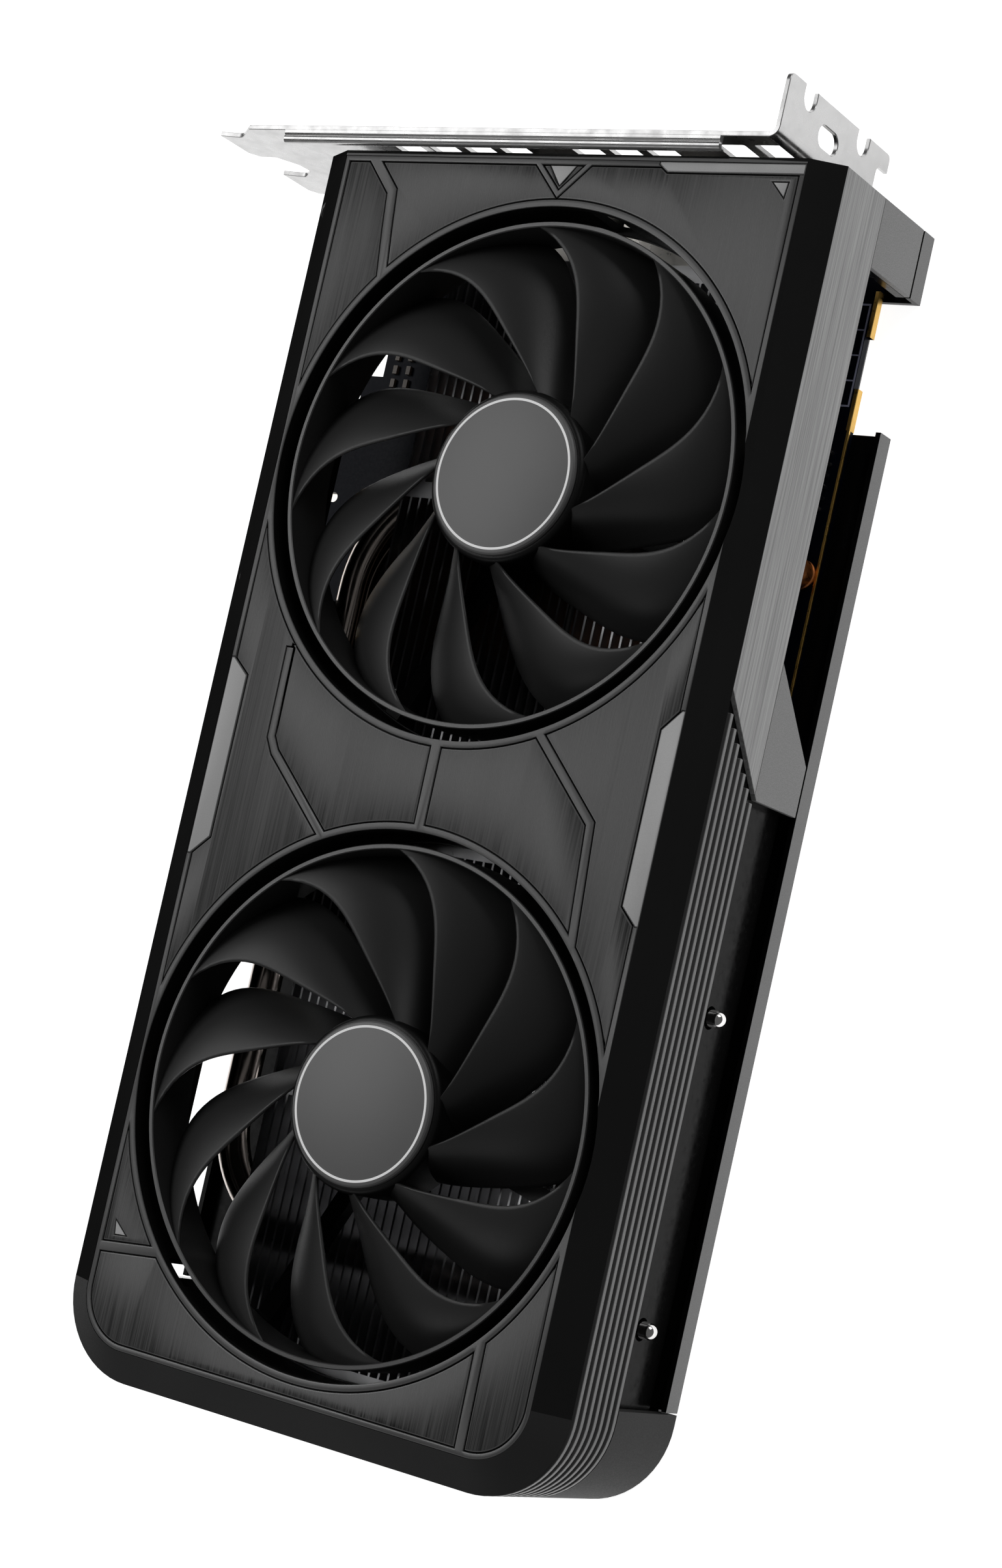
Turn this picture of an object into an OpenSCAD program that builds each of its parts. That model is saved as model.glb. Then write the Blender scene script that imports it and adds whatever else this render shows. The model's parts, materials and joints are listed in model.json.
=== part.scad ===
// Two-slot graphics card lying on its backplate, fans up.
// +X runs from the slot bracket to the far end, +Y from the edge connector to the trimmed side,
// +Z from the backplate to the fans. The origin is under the middle of the whole card.

/* [Card] */
// Length of the cooler housing
body_l = 223.7; // [222:0.1:226]
// Width of the cooler housing
body_w = 105.3; // [104:0.1:107]
// Height from the backplate to the fan face
card_h = 38; // [37.6:0.1:39]
// Radius of the two far corners
corner_r = 16; // [13:0.5:17]
// Width of the sloping edge round the face
chamfer_w = 5.7; // [5:0.1:6]
// Height of the sloping edge round the face
chamfer_h = 3.4; // [3:0.1:4]
// Wall thickness of the housing
wall = 1.6; // [1.4:0.1:1.8]

/* [Fans] */
// Distance between the two fan axes
fan_pitch = 110.1; // [109.5:0.1:110.5]
// Outer radius of the ring that joins the blade tips
ring_r = 44.65; // [44.2:0.05:44.8]
// Number of blades on each fan
blade_n = 11; // [9:1:13]
// Radius of the fan hub
hub_r = 15.4; // [15:0.1:16]
// Radius of the openings in the face
opening_r = 47; // [46.6:0.1:47.2]
// Radius of each steel shaft
shaft_r = 1.5; // [1.2:0.1:1.6]
// Radial clearance of each shaft in its sleeve
shaft_clear = 0.05; // [0.02:0.01:0.09]

/* [Bracket] */
// Sheet thickness of the slot bracket
sheet = 0.86; // [0.8:0.02:1]
// Distance between neighbouring expansion slots
slot_pitch = 20.32; // [20.32]
// Width of each screw slot in the flange
screw_slot_w = 4.42; // [4.2:0.02:4.6]
// Height of the bracket from flange to tongue tips
bracket_h = 119.9; // [119.6:0.1:120.1]

/* [Board] */
// Thickness of the circuit board
pcb_t = 1.6; // [1.5:0.05:1.7]
// Height of the top of the circuit board above the table
pcb_top = 4; // [3.8:0.1:4.2]
// Length of the circuit board
pcb_l = 136; // [132:1:138]

/* [Heatsink] */
// Outer radius of the heat pipes
pipe_r = 3; // [2.8:0.1:3.1]
// Height of the heat pipe centres
pipe_z = 13; // [12.8:0.1:13.2]
// Distance between neighbouring fins
fin_pitch = 2; // [1.8:0.1:2.2]
// Thickness of one fin
fin_t = 0.4; // [0.3:0.05:0.5]
// Height of the tops of the fins
fin_top = 19.6; // [19:0.1:19.8]

/* [Hidden] */
$fn = 64;

// housing limits
x_far = 118.75;
x_near = x_far - body_l;
y_side = 65.25;
y_slot = y_side - body_w;
edge_z = card_h - chamfer_h;
band_z = edge_z - 14.7;
skirt_z = 15.6;
recess_y = y_side - 3;

// fans
fan_y = 13.25;
fan_1_x = -48.65;
fan_2_x = fan_1_x + fan_pitch;
ring_top = card_h - 1;
ring_h = 10.6;
ring_t = 0.9;
hub_bottom = 24.6;
hub_top = 35.9;
cap_t = 0.84;
duct_r = opening_r + 1.2;
frame_z = 21.2;
strut_h = 2.8;
strut_angles = [75, 195, 335];
hoop_z = 24.7;

// face details
groove = 0.35;
panel_t = 0.5;
face_t = 1.4;
rim_w = 1;

// bracket
plate_x = -107.55;
flange_y = y_side - 10.6;
flange_end = -118.75;
bracket_top = 40.8;
bracket_bottom = 2.2;
screw_slot_z = [33, 33 - slot_pitch];

// board outline
pcb_x0 = -106.4;
pcb_x1 = pcb_x0 + pcb_l;
pcb_y0 = -45.15;
pcb_y1 = 59.2;
finger_y = -53.4;
key_x = -49;
key_w = 1.9;
tab_x0 = key_x - key_w / 2 - 11.65;
tab_x1 = key_x + key_w / 2 + 71.65;

// cooler
die_x = -48;
die_y = 14;
die_top = pcb_top + 2.6;
cold_t = 5.2;
pipe_clear = 0.05;
outer_bend = 22;
outer_start_x = -52;
outer_run_y = -29.5;
outer_end_x = 87.5;
outer_end_bend = 20;
inner_bend = 15;
inner_start_x = -44;
inner_run_y = -23;
inner_end_x = 34.6;
inner_end_bend = 14;
pipe_start_y = 38;
pipe_end_y = y_side - 8.6;
tip_r = 1.5;
tip_taper = 3.4;
tip_y = y_side - 1.6;
fin_y0 = -19;
far_fin_y0 = fin_y0 + 0.6;
fin_n = 40;

// small shared sizes
trim_t = 1;
arm_z = 4.4;
arm_w = 12;
strip_x = -1.75;
block_x = 100.8;
rib_n = 7;
rib_pitch = 2.07;
rib_h = 1.05;
rib_end_y = 20;
duct_h = 11;
notches = [[fan_1_x, 169.6], [fan_2_x, -40.3]];
notch_w = 6;
lintel_z = 26;
back_t = 1.2;
plate_end = block_x - 0.3;
cut_end = -69.3;
lip_w = 2.3;
vent_z = 17;
contact_t = 0.06;

// parts on the board
dp_y = [-24, -3, 18];
hdmi_y = 38;
foot_y = [-37.6, 51];
memory_xy = [[-76, 2], [-76, 26], [-48, -16], [-20, 2], [-20, 26]];
choke_xy = [for (i = [0 : 4]) [-2, -30 + i * 9]];
capacitor_xy = [[-43.4, 55.2], [6, -36], [13, -36], [20, -36]];

// screws
shroud_screw_xy = [[-94.5, -37], [-26, -36.5], [113.4, -24], [113.4, 50]];
board_screw_xy = [[-88, 50], [-88, -36.5], [20, 50], [24, -20]];
cooler_screw_xy = [[-22, -24], [22, -24], [-22, 24], [22, 24]];
brace_x = 22;
brace_y = 24;

// motor
sleeve_r = 3;
sleeve_h = 8.6;
cable_x = 9;
cable_down_x = 8;
lead_r = 0.55;
magnet_r = 13.2;
boss_z = 31;
shaft_top = hub_top - 1.6;
blade_tilt = -24;

// ---------- shared shapes ----------

// Outline of the housing, inset by d, with rounded far corners
module outline(d = 0) {
    r = corner_r - d;
    translate([x_near, y_slot + d]) square([body_l - d - r, body_w - 2 * d]);
    translate([x_near, y_slot + d + r]) square([body_l - d, body_w - 2 * d - 2 * r]);
    for (y = [y_slot + d + r, y_side - d - r]) translate([x_far - d - r, y]) circle(r);
}

// Slab from z0 to z1 with the housing's outline, inset by d
module slab(z0, z1, d = 0) translate([0, 0, z0]) linear_extrude(z1 - z0) outline(d);

// Straight bar of width w with round ends from p to q, drawn flat
module bar(p, q, w) {
    v = q - p;
    translate(p) rotate(atan2(v[1], v[0])) translate([0, -w / 2]) square([norm(v), w]);
    for (c = [p, q]) translate(c) circle(w / 2);
}

function left_of(v) = [-v[1], v[0]] / norm(v);

// Direction of a chain's mitre at its point i, one unit off each neighbouring line
function mitre(p, i) =
    let (a = max(i, 1), b = min(i + 1, len(p) - 1))
    let (m = left_of(p[a] - p[a - 1]), n = left_of(p[b] - p[b - 1]))
    (m + n) / (1 + m * n);

// How far a chain's ends stand past its first and last points
function past_end(p, i, e) = i == 0 ? (p[0] - p[1]) * e / norm(p[0] - p[1])
    : i == len(p) - 1 ? (p[i] - p[i - 1]) * e / norm(p[i] - p[i - 1]) : [0, 0];

// Chain of straight bars of width w through a list of points, with square ends
module bars(p, w) polygon(concat(
    [for (i = [0 : len(p) - 1]) p[i] + mitre(p, i) * w / 2 + past_end(p, i, w / 2)],
    [for (i = [len(p) - 1 : -1 : 0]) p[i] - mitre(p, i) * w / 2 + past_end(p, i, w / 2)]));

// Screw with a flat round head at z = 0 and its shank below
module screw(head_r, head_h, shank_r, shank_l) {
    difference() {
        cylinder(r = head_r, h = head_h);
        for (a = [0, 90]) rotate(a) translate([-head_r * 0.6, -0.3, head_h * 0.5])
            cube([head_r * 1.2, 0.6, head_h]);
    }
    translate([0, 0, -shank_l]) cylinder(r = shank_r, h = shank_l + 0.01);
}

// ---------- housing ----------

// Closed block under the face: straight sides up to edge_z, then the slope, all inset by d
module hood(d, z0, drop) {
    r = corner_r - d;
    top = card_h - drop;
    low = edge_z - drop;
    slab(z0, low, d);
    translate([x_near, 0, 0]) rotate([90, 0, 90]) linear_extrude(body_l - corner_r) polygon([
        [y_slot + d, low], [y_slot + d + chamfer_w, top],
        [y_side - d - chamfer_w, top], [y_side - d, low]]);
    translate([0, y_side - corner_r, 0]) rotate([90, 0, 0])
        linear_extrude(body_w - 2 * corner_r) polygon([
        [x_far - corner_r - 1, low], [x_far - corner_r - 1, top],
        [x_far - d - chamfer_w, top], [x_far - d, low]]);
    for (y = [y_slot + corner_r, y_side - corner_r]) translate([x_far - corner_r, y, low])
        cylinder(r1 = r, r2 = r - chamfer_w, h = chamfer_h);
}

// Sloped strip that runs from the band down to the backplate, drawn in x and z
module strip_shape() polygon([
    [strip_x - 23.35, band_z], [strip_x - 0.9, band_z], [strip_x, band_z - 0.9],
    [strip_x, arm_z], [strip_x - 8.75, arm_z]]);

// Turns a shape drawn in x and z into a plate between y0 and y1
module side_plate(y0, y1) translate([0, y1, 0]) rotate([90, 0, 0]) linear_extrude(y1 - y0) children();

module shroud() color("#141416") {
    difference() {
        hood(0, 0, 0);
        // the trimmed side and its corner are one trim thickness further in
        difference() {
            slab(band_z, edge_z, -1);
            slab(band_z - 1, edge_z + 1, trim_t);
            translate([x_near - 5, y_slot - 5, 0]) cube([body_l + 10, rib_end_y - y_slot + 5, card_h]);
        }
        // open lower part, all but the far end
        translate([x_near - 5, y_slot - 5, -1]) cube([block_x - x_near + 5, 5 + body_w / 2, skirt_z + 1]);
        translate([x_near - 5, 0, -1]) cube([block_x - x_near + 5, y_side + 5, band_z + 1]);
        // inside space
        difference() {
            hood(wall + trim_t, -2, face_t + wall);
            for (x = [fan_1_x, fan_2_x]) translate([x, fan_y, ring_top - duct_h])
                cylinder(r = duct_r, h = 20);
        }
        translate([x_near - 1, y_slot + 4, -1]) cube([wall + 3, body_w - 8, lintel_z + 1]);
        // seat for the face frame, and the fan openings
        translate([0, 0, card_h - face_t]) linear_extrude(5) face_outline(0);
        for (x = [fan_1_x, fan_2_x]) translate([x, fan_y, 0]) cylinder(r = opening_r, h = card_h + 1);
        for (p = shroud_screw_xy) translate([p[0], p[1], -1]) cylinder(r = 1.1, h = 12);
        // one notch in each duct wall
        for (n = notches) translate([n[0], fan_y, 0]) rotate(n[1]) translate([opening_r - 1, -notch_w / 2, 0])
            cube([3, notch_w, card_h - face_t - 0.5]);
    }
    // recessed lower wall with holes for the pipe ends, and the backing of the two arms
    difference() {
        union() {
            side_plate(recess_y - 1.2, recess_y)
                translate([strip_x - 3, arm_z]) square([block_x + 4 - strip_x, band_z + 1.2 - arm_z]);
            side_plate(recess_y - 1.2, y_side - trim_t)
                translate([strip_x - 3, band_z]) square([block_x + 4 - strip_x, 1.2]);
            side_plate(recess_y - 1.2, y_side - trim_t) strip_shape();
            side_plate(y_side - wall - trim_t, y_side - trim_t)
                translate([x_near, arm_z]) square([arm_w, band_z + 0.5 - arm_z]);
            side_plate(y_side - wall - trim_t, y_side - trim_t)
                translate([strip_x - 30, band_z - 0.1]) square([32, 1.5]);
        }
        for (x = [outer_end_x, inner_end_x]) translate([x, y_side - 6, pipe_z]) rotate([-90, 0, 0])
            cylinder(r = tip_r + 0.5, h = 8);
    }
    // posts that the backplate screws hold
    for (p = shroud_screw_xy) translate([p[0], p[1], 1.5]) difference() {
        cylinder(r = 2.2, h = 34);
        translate([0, 0, -1]) cylinder(r = 1.1, h = 12);
    }
}

// Plan of the face, inset by d from the top of the slope
module face_outline(d) {
    e = chamfer_w + d;
    r = corner_r - e;
    x0 = x_near + 0.9 + d;
    translate([x0, y_slot + e]) square([x_far - e - r - x0, body_w - 2 * e]);
    translate([x0, y_slot + e + r]) square([x_far - e - x0, body_w - 2 * e - 2 * r]);
    for (y = [y_slot + e + r, y_side - e - r]) translate([x_far - e - r, y]) circle(r);
}

// Raised ridges and plain fields between the brushed panels, widened by 2 d
module ridges(d) {
    bars([[-103.6, -28], [-97.6, -22.6], [-91, -21.9], [-78, -20.2]], 1.9 + 2 * d);
    bars([[-13.2, -21.9], [2.2, -21.7], [4.8, -20.2], [20, -4]], 1.5 + 2 * d);
    bars([[-8, 13.1], [20, 13.4]], 2 + 2 * d);
    bars([[-6, 32], [8.4, 46.4], [30, 48]], 1.5 + 2 * d);
    bars([[96.4, -36], [94.6, -20]], 1.7 + 2 * d);
    bars([[94, 47.6], [116, 48]], 1.7 + 2 * d);
    // triangle at the middle of the near edge
    bars([[-103.6, 6.9], [-97.8, 12.5], [-103.6, 18.1]], 0.9 + 2 * d);
    // strip along the near edge
    polygon([[-106, 31.6 - d], [-103.4 + d, 31.6 - d], [-102.1 + d, 33.4 - d],
        [-102.1 + d, 62], [-106, 62]]);
    // long plain fields at both sides
    polygon([[-12.2 - d, 62], [-12.2 - d, 58.8], [-8.6 - d, 55.7 - d],
        [20.8 + d, 55.7 - d], [23.8 + d, 58.8], [23.8 + d, 62]]);
    polygon([[-11 - d, -36], [-11 - d, -33.6], [-8 - d, -30 + d],
        [21.5 + d, -30 + d], [25 + d, -33.6], [25 + d, -36]]);
}

// Plan of the brushed panels, shrunk by d
module panel_shape(d) difference() {
    face_outline(rim_w + d);
    for (x = [fan_1_x, fan_2_x]) translate([x, fan_y]) circle(opening_r + 1.2 + d);
    ridges(d);
}

module face_frame() color("#3a3a3c") difference() {
    translate([0, 0, card_h - face_t]) linear_extrude(face_t) difference() {
        face_outline(0.02);
        for (x = [fan_1_x, fan_2_x]) translate([x, fan_y]) circle(opening_r);
    }
    translate([0, 0, card_h - panel_t - 0.1]) linear_extrude(2) panel_shape(0);
}

module face_panels() color("#2b2b2d")
    translate([0, 0, card_h - panel_t - 0.1]) linear_extrude(panel_t) panel_shape(groove);

module side_band() color("#8a8a8c") side_plate(y_side - trim_t + 0.02, y_side) polygon([
    [x_near, band_z + 0.02], [x_near, edge_z - 0.02],
    [strip_x - 0.9 - edge_z + band_z, edge_z - 0.02], [strip_x - 0.9, band_z + 0.02]]);

module side_arms() color("#78787a") {
    side_plate(y_side - trim_t + 0.02, y_side) strip_shape();
    side_plate(y_side - trim_t + 0.02, y_side) translate([x_near, arm_z]) square([arm_w, band_z - arm_z]);
}

module side_ribs() color("#6a6a6c") for (i = [0 : rib_n - 1]) {
    z = band_z + 0.15 + i * rib_pitch;
    x0 = strip_x + 0.8 - (z - band_z);
    difference() {
        slab(z, z + rib_h);
        slab(z - 1, z + 3, trim_t - 0.02);
        translate([x_near - 5, y_slot - 5, 0]) cube([body_l + 10, rib_end_y - y_slot + 5.02, card_h]);
        translate([x_near - 5, 0, 0]) cube([x0 - x_near + 5, y_side + 5, card_h]);
    }
}

// ---------- slot bracket ----------

// Box centred in y on the plate, for cutting windows
module window(y0, z0, w, h) translate([plate_x - 4, y0, z0]) cube([8, w, h]);

module io_bracket() color("#c8c8ca") {
    r = 1.8;
    difference() {
        union() {
            translate([0, 0, bracket_bottom]) linear_extrude(bracket_top - bracket_bottom) {
                translate([plate_x - sheet, flange_y - bracket_h]) square([sheet, bracket_h - r]);
                translate([flange_end, flange_y - sheet]) square([plate_x - r - flange_end, sheet]);
                translate([plate_x - r, flange_y - r]) intersection() {
                    difference() {
                        circle(r);
                        circle(r - sheet);
                    }
                    square(r);
                }
            }
            // folded lip beside the fans
            translate([plate_x - 0.01, -47.6, bracket_top - sheet]) cube([lip_w, 91.7, sheet]);
            translate([plate_x + lip_w - 0.8, -47.6, bracket_top - 0.8]) rotate([-90, 0, 0])
                cylinder(r = 0.8, h = 91.7);
            // feet that are screwed to the board
            for (y = foot_y) translate([plate_x - 0.01, y - 3, pcb_top]) cube([8, 6, sheet]);
        }
        // tongues: steps beside them and the gap between them
        translate([plate_x - 4, 0, 0]) rotate([90, 0, 90]) linear_extrude(8) {
            polygon([[-70, 50], [-70, 37.2], [-65.4, 37.2], [-60.6, 36.4], [-58.8, 38],
                [-55.8, 40.8], [-55.8, 50]]);
            polygon([[-70, 28.4], [-65.3, 28.4], [-63.8, 26.4], [-60.2, 26.2], [-57.5, 22.4],
                [-57.1, 19.1], [-60.4, 16], [-65.4, 17], [-70, 17]]);
            polygon([[-70, 0], [-70, 8.6], [-65.3, 8.6], [-63.8, 6.6], [-59.5, 6.4], [-56, 3], [-56, 0]]);
        }
        // open screw slots, the long hole and the step in the flange
        for (z = screw_slot_z) translate([flange_end - 2, flange_y - 3, z - screw_slot_w / 2]) {
            cube([2 + 3.9 - screw_slot_w / 2, 6, screw_slot_w]);
            translate([2 + 3.9 - screw_slot_w / 2, 0, screw_slot_w / 2]) rotate([-90, 0, 0])
                cylinder(r = screw_slot_w / 2, h = 6);
        }
        for (z = [22.8, 26.2]) translate([-113, flange_y - 3, z]) rotate([-90, 0, 0])
            cylinder(r = 1.9, h = 6);
        translate([-114.9, flange_y - 3, 22.8]) cube([3.8, 6, 3.4]);
        translate([-115.5, flange_y - 3, 0]) cube([12, 6, 6.2]);
        translate([plate_x - 1, flange_y - 3, 0]) cube([3, 6, 6.2]);
        // air vents
        for (i = [0 : 11]) if (i != 4 && i != 8)
            window(-28.1 + i * 7.58 + 0.2, vent_z, 5.7, bracket_top - 4.4 - vent_z);
        // display sockets
        for (y = dp_y) window(y - 8.6, pcb_top + 0.2, 17.2, 7.8);
        window(hdmi_y - 7.9, pcb_top + 0.2, 15.8, 7);
        for (y = foot_y) translate([plate_x + 5, y, 0]) cylinder(r = 1.6, h = 8);
    }
}

module bracket_screws() color("#b8b8ba") for (y = foot_y) translate([plate_x + 5, y, pcb_top + sheet])
    screw(2.7, 1.3, 1.3, 2.2);

// ---------- backplate and its screws ----------

module backplate() color("#5a5a5c") difference() {
    union() {
        intersection() {
            slab(0, back_t);
            translate([x_near, y_slot - 1, -1]) cube([plate_end - x_near, body_w + 2, 5]);
        }
        slab(0, back_t, wall + trim_t + 0.4);
        // upstanding edges
        for (s = [[x_near, arm_w], [cut_end, plate_end - cut_end]])
            translate([s[0], y_side - 1, 0]) cube([s[1], 1, arm_z - 0.4]);
        translate([pcb_x1 + 1, y_slot, 0]) cube([plate_end - pcb_x1 - 1, 1, arm_z - 0.6]);
    }
    // cut-away beside the board edge, and the space under the edge connector
    translate([x_near + arm_w, 57.2, -1]) cube([cut_end - x_near - arm_w, 20, 10]);
    translate([tab_x0 - 2, y_slot - 1, -1]) cube([tab_x1 - tab_x0 + 4, 1.5, 10]);
    // slots that let the far fan's air out
    for (i = [0 : 7]) translate([40 + i * 7, -14, -1]) linear_extrude(5) bar([0, 0], [5, 52], 3.4);
    for (p = shroud_screw_xy) translate([p[0], p[1], -1]) cylinder(r = 1.6, h = 5);
    for (p = cooler_screw_xy) translate([die_x + p[0], die_y + p[1], -1]) cylinder(r = 3.6, h = 5);
    for (p = board_screw_xy) translate([p[0], p[1], -1]) cylinder(r = 1.35, h = 5);
    for (p = concat(shroud_screw_xy, board_screw_xy)) translate([p[0], p[1], -1])
        cylinder(r = 2.9, h = 1.5);
}

// Low-head screws set into the backplate from below
module back_screw(l) translate([0, 0, 0.5]) {
    difference() {
        translate([0, 0, -0.35]) cylinder(r = 2.7, h = 0.35);
        for (a = [0, 90]) rotate(a) translate([-1.5, -0.25, -1]) cube([3, 0.5, 0.85]);
    }
    translate([0, 0, -0.01]) cylinder(r = 1.05, h = l);
}

module backplate_screws() color("#b0b0b2") for (p = board_screw_xy) translate([p[0], p[1], 0])
    back_screw(3.2);

module shroud_screws() color("#b0b0b2") for (p = shroud_screw_xy) translate([p[0], p[1], 0])
    back_screw(9);

// ---------- circuit board ----------

module circuit_board() color("#161d22") {
    difference() {
        translate([0, 0, pcb_top - pcb_t]) linear_extrude(pcb_t) difference() {
            union() {
                translate([pcb_x0, pcb_y0]) square([pcb_l, pcb_y1 - pcb_y0]);
                translate([tab_x0, finger_y]) square([tab_x1 - tab_x0, 10]);
            }
            translate([pcb_x0 - 1, pcb_y0 - 1]) square([-73 - pcb_x0 + 1, 5.2]);
            translate([-85.8, pcb_y1 - 0.9]) square([9.2, 2]);
            translate([key_x - key_w / 2, finger_y - 1]) square([key_w, 8.3]);
            translate([key_x, finger_y + 7.3]) circle(key_w / 2);
        }
        for (p = board_screw_xy) translate([p[0], p[1], 0]) cylinder(r = 1.3, h = 8);
        for (p = cooler_screw_xy) translate([die_x + p[0], die_y + p[1], 0]) cylinder(r = 1.8, h = 8);
        for (p = shroud_screw_xy) translate([p[0], p[1], 0]) cylinder(r = 2.6, h = 8);
        for (y = foot_y) translate([plate_x + 5, y, 0]) cylinder(r = 1.35, h = 8);
    }
    // raised spacers that carry the board on the backplate
    for (p = board_screw_xy) translate([p[0], p[1], back_t]) difference() {
        cylinder(r = 2.4, h = pcb_top - pcb_t - back_t);
        translate([0, 0, -1]) cylinder(r = 1.3, h = 5);
    }
}

module edge_contacts() color("#c9a24a") for (z = [pcb_top, pcb_top - pcb_t - contact_t]) {
    for (i = [0 : 10]) translate([tab_x0 + 0.8 + i, finger_y + 0.6, z]) cube([0.7, 4.4, contact_t]);
    for (i = [0 : 70]) translate([key_x + key_w / 2 + 0.5 + i, finger_y + 0.6, z])
        cube([0.7, 4.4, contact_t]);
}

module gpu_package() color("#1d3a2c") translate([die_x, die_y, pcb_top]) {
    translate([-18, -18, 0.4]) cube([36, 36, 1.4]);
    for (x = [-15, 15], y = [-15, 15]) translate([x, y, 0]) cylinder(r = 2, h = 0.41);
    translate([-12, -12, 0]) cube([24, 24, 0.41]);
}

module gpu_die() color("#6f7680") translate([die_x - 8, die_y - 10, pcb_top + 1.8])
    cube([16, 20, die_top - pcb_top - 1.8]);

module memory_chips() color("#202022") for (p = memory_xy) translate([p[0] - 6, p[1] - 7, pcb_top])
    cube([12, 14, 1.2]);

module power_chokes() color("#3d3d40") for (p = choke_xy) translate([p[0] - 3.2, p[1] - 3.2, pcb_top])
    cube([6.4, 6.4, 3.2]);

module power_stages() color("#1b1b1d") for (p = choke_xy) translate([p[0] + 4.6, p[1] - 2.6, pcb_top])
    cube([5, 5.2, 0.9]);

module round_capacitors() color("#c8743a") for (p = capacitor_xy) translate([p[0], p[1], pcb_top])
    cylinder(r = 2.6, h = 4.6);

// Rows of small surface parts
module small_parts() color("#8c7a62") {
    for (i = [0 : 7], j = [0 : 1]) translate([-83 + i * 2.6, -38.5 + j * 3, pcb_top]) cube([1.6, 0.9, 0.7]);
    for (i = [0 : 3], j = [0 : 2]) translate([-20 + i * 3.2, -36 + j * 3.4, pcb_top]) cube([1.6, 0.9, 0.7]);
    for (i = [0 : 7]) translate([-34 + i * 3, 55.5, pcb_top]) cube([1.6, 0.9, 0.7]);
}

module pin_header() color("#d0c080") {
    for (i = [0 : 5]) translate([-65 + i * 2, 57, pcb_top]) cylinder(r = 0.35, h = 2.6);
}

module fan_socket() color("#dcdcd8") translate([5, 20, pcb_top]) difference() {
    cube([6, 10, 4]);
    for (y = [2.5, 7.5]) translate([3, y, 1.5]) cylinder(r = 0.7, h = 5);
}

// Metal shell with an open mouth that faces the bracket side
module socket_shell(w, h, l) difference() {
    translate([plate_x - sheet - 0.4, -w / 2, 0]) cube([l, w, h]);
    translate([plate_x - sheet - 1, -w / 2 + 0.5, 0.5]) cube([l - 2, w - 1, h - 1]);
}

module hdmi_port() color("#a8a8aa") translate([0, hdmi_y, pcb_top + 0.4]) {
    socket_shell(15, 6, 12);
    translate([plate_x + 0.5, -5, 2.2]) cube([9.7, 10, 1]);
    translate([plate_x + 3, -6, -0.4]) cube([6, 12, 0.41]);
}

module display_ports() color("#a8a8aa") for (y = dp_y) translate([0, y, pcb_top + 0.4]) {
    socket_shell(16.4, 7, 15);
    translate([plate_x + 0.5, -6.5, 3.4]) cube([12.7, 13, 1]);
    translate([plate_x + 3, -7, -0.4]) cube([8, 14, 0.41]);
}

// ---------- cooler ----------

module thermal_pads() color("#9fb0bd") for (p = memory_xy)
    translate([p[0] - 5.5, p[1] - 6.5, pcb_top + 1.22]) cube([11, 13, die_top - pcb_top - 1.26]);

module cold_plate() color("#b87a4b") difference() {
    translate([die_x - 27, die_y - 31, die_top + 0.02]) cube([54, 58, cold_t]);
    for (x = [outer_start_x, inner_start_x]) translate([x, 60, pipe_z]) rotate([90, 0, 0])
        cylinder(r = pipe_r + pipe_clear, h = 120);
    bend(outer_start_x + outer_bend, outer_run_y + outer_bend, outer_bend, 180, pipe_clear);
    bend(inner_start_x + inner_bend, inner_run_y + inner_bend, inner_bend, 180, pipe_clear);
    for (p = cooler_screw_xy) translate([die_x + p[0], die_y + p[1], 0]) cylinder(r = 1.1, h = 10);
}

// Quarter bend about [x, y] from angle a, thicker than the pipe by grow
module bend(x, y, r, a, grow = 0) translate([x, y, pipe_z]) rotate(a) rotate_extrude(angle = 90)
    translate([r, 0]) circle(pipe_r + grow);

// Straight pipe from p to q in the pipes' plane
module run(p, q) {
    v = q - p;
    translate([p[0], p[1], pipe_z]) rotate(atan2(v[1], v[0])) rotate([0, 90, 0])
        cylinder(r = pipe_r, h = norm(v));
}

// Pipe that leaves the cold plate, runs beside the slot edge and crosses the far fins
module heat_pipe(x0, b0, run_y, x1, b1) {
    run([x0, run_y + b0], [x0, pipe_start_y]);
    bend(x0 + b0, run_y + b0, b0, 180);
    run([x0 + b0, run_y], [x1 - b1, run_y]);
    bend(x1 - b1, run_y + b1, b1, 270);
    run([x1, run_y + b1], [x1, pipe_end_y]);
    // drawn-down end and its sealed tip
    translate([x1, pipe_end_y, pipe_z]) rotate([-90, 0, 0]) {
        cylinder(r1 = pipe_r, r2 = tip_r, h = tip_taper);
        translate([0, 0, tip_taper - 0.01]) cylinder(r = tip_r, h = tip_y - pipe_end_y - tip_taper + 0.01);
        translate([0, 0, tip_y - pipe_end_y]) sphere(tip_r);
    }
    translate([x0, pipe_start_y, pipe_z]) sphere(pipe_r);
}

module heat_pipe_outer() color("#a9a49c")
    heat_pipe(outer_start_x, outer_bend, outer_run_y, outer_end_x, outer_end_bend);

module heat_pipe_inner() color("#a9a49c")
    heat_pipe(inner_start_x, inner_bend, inner_run_y, inner_end_x, inner_end_bend);

// Stack of fins with the outline of its child, tied along the top and bottom edges
module fins(y0) {
    for (i = [0 : fin_n - 1]) side_plate(y0 + i * fin_pitch, y0 + i * fin_pitch + fin_t) children();
}

module main_fins() color("#8f9092") {
    x0 = -92;
    x1 = 3;
    fins(fin_y0) difference() {
        translate([x0, 9.4]) square([x1 - x0, fin_top - 9.4]);
        translate([die_x - 30, 9]) square([60, pipe_z + pipe_r + pipe_clear - 9]);
    }
    for (x = [x0, -50, x1 - 3]) translate([x, fin_y0, fin_top - 0.5])
        cube([3, (fin_n - 1) * fin_pitch + fin_t, 0.5]);
    for (x = [x0, x1 - 3]) translate([x, fin_y0, 9.4])
        cube([3, (fin_n - 1) * fin_pitch + fin_t, 0.5]);
}

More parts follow.
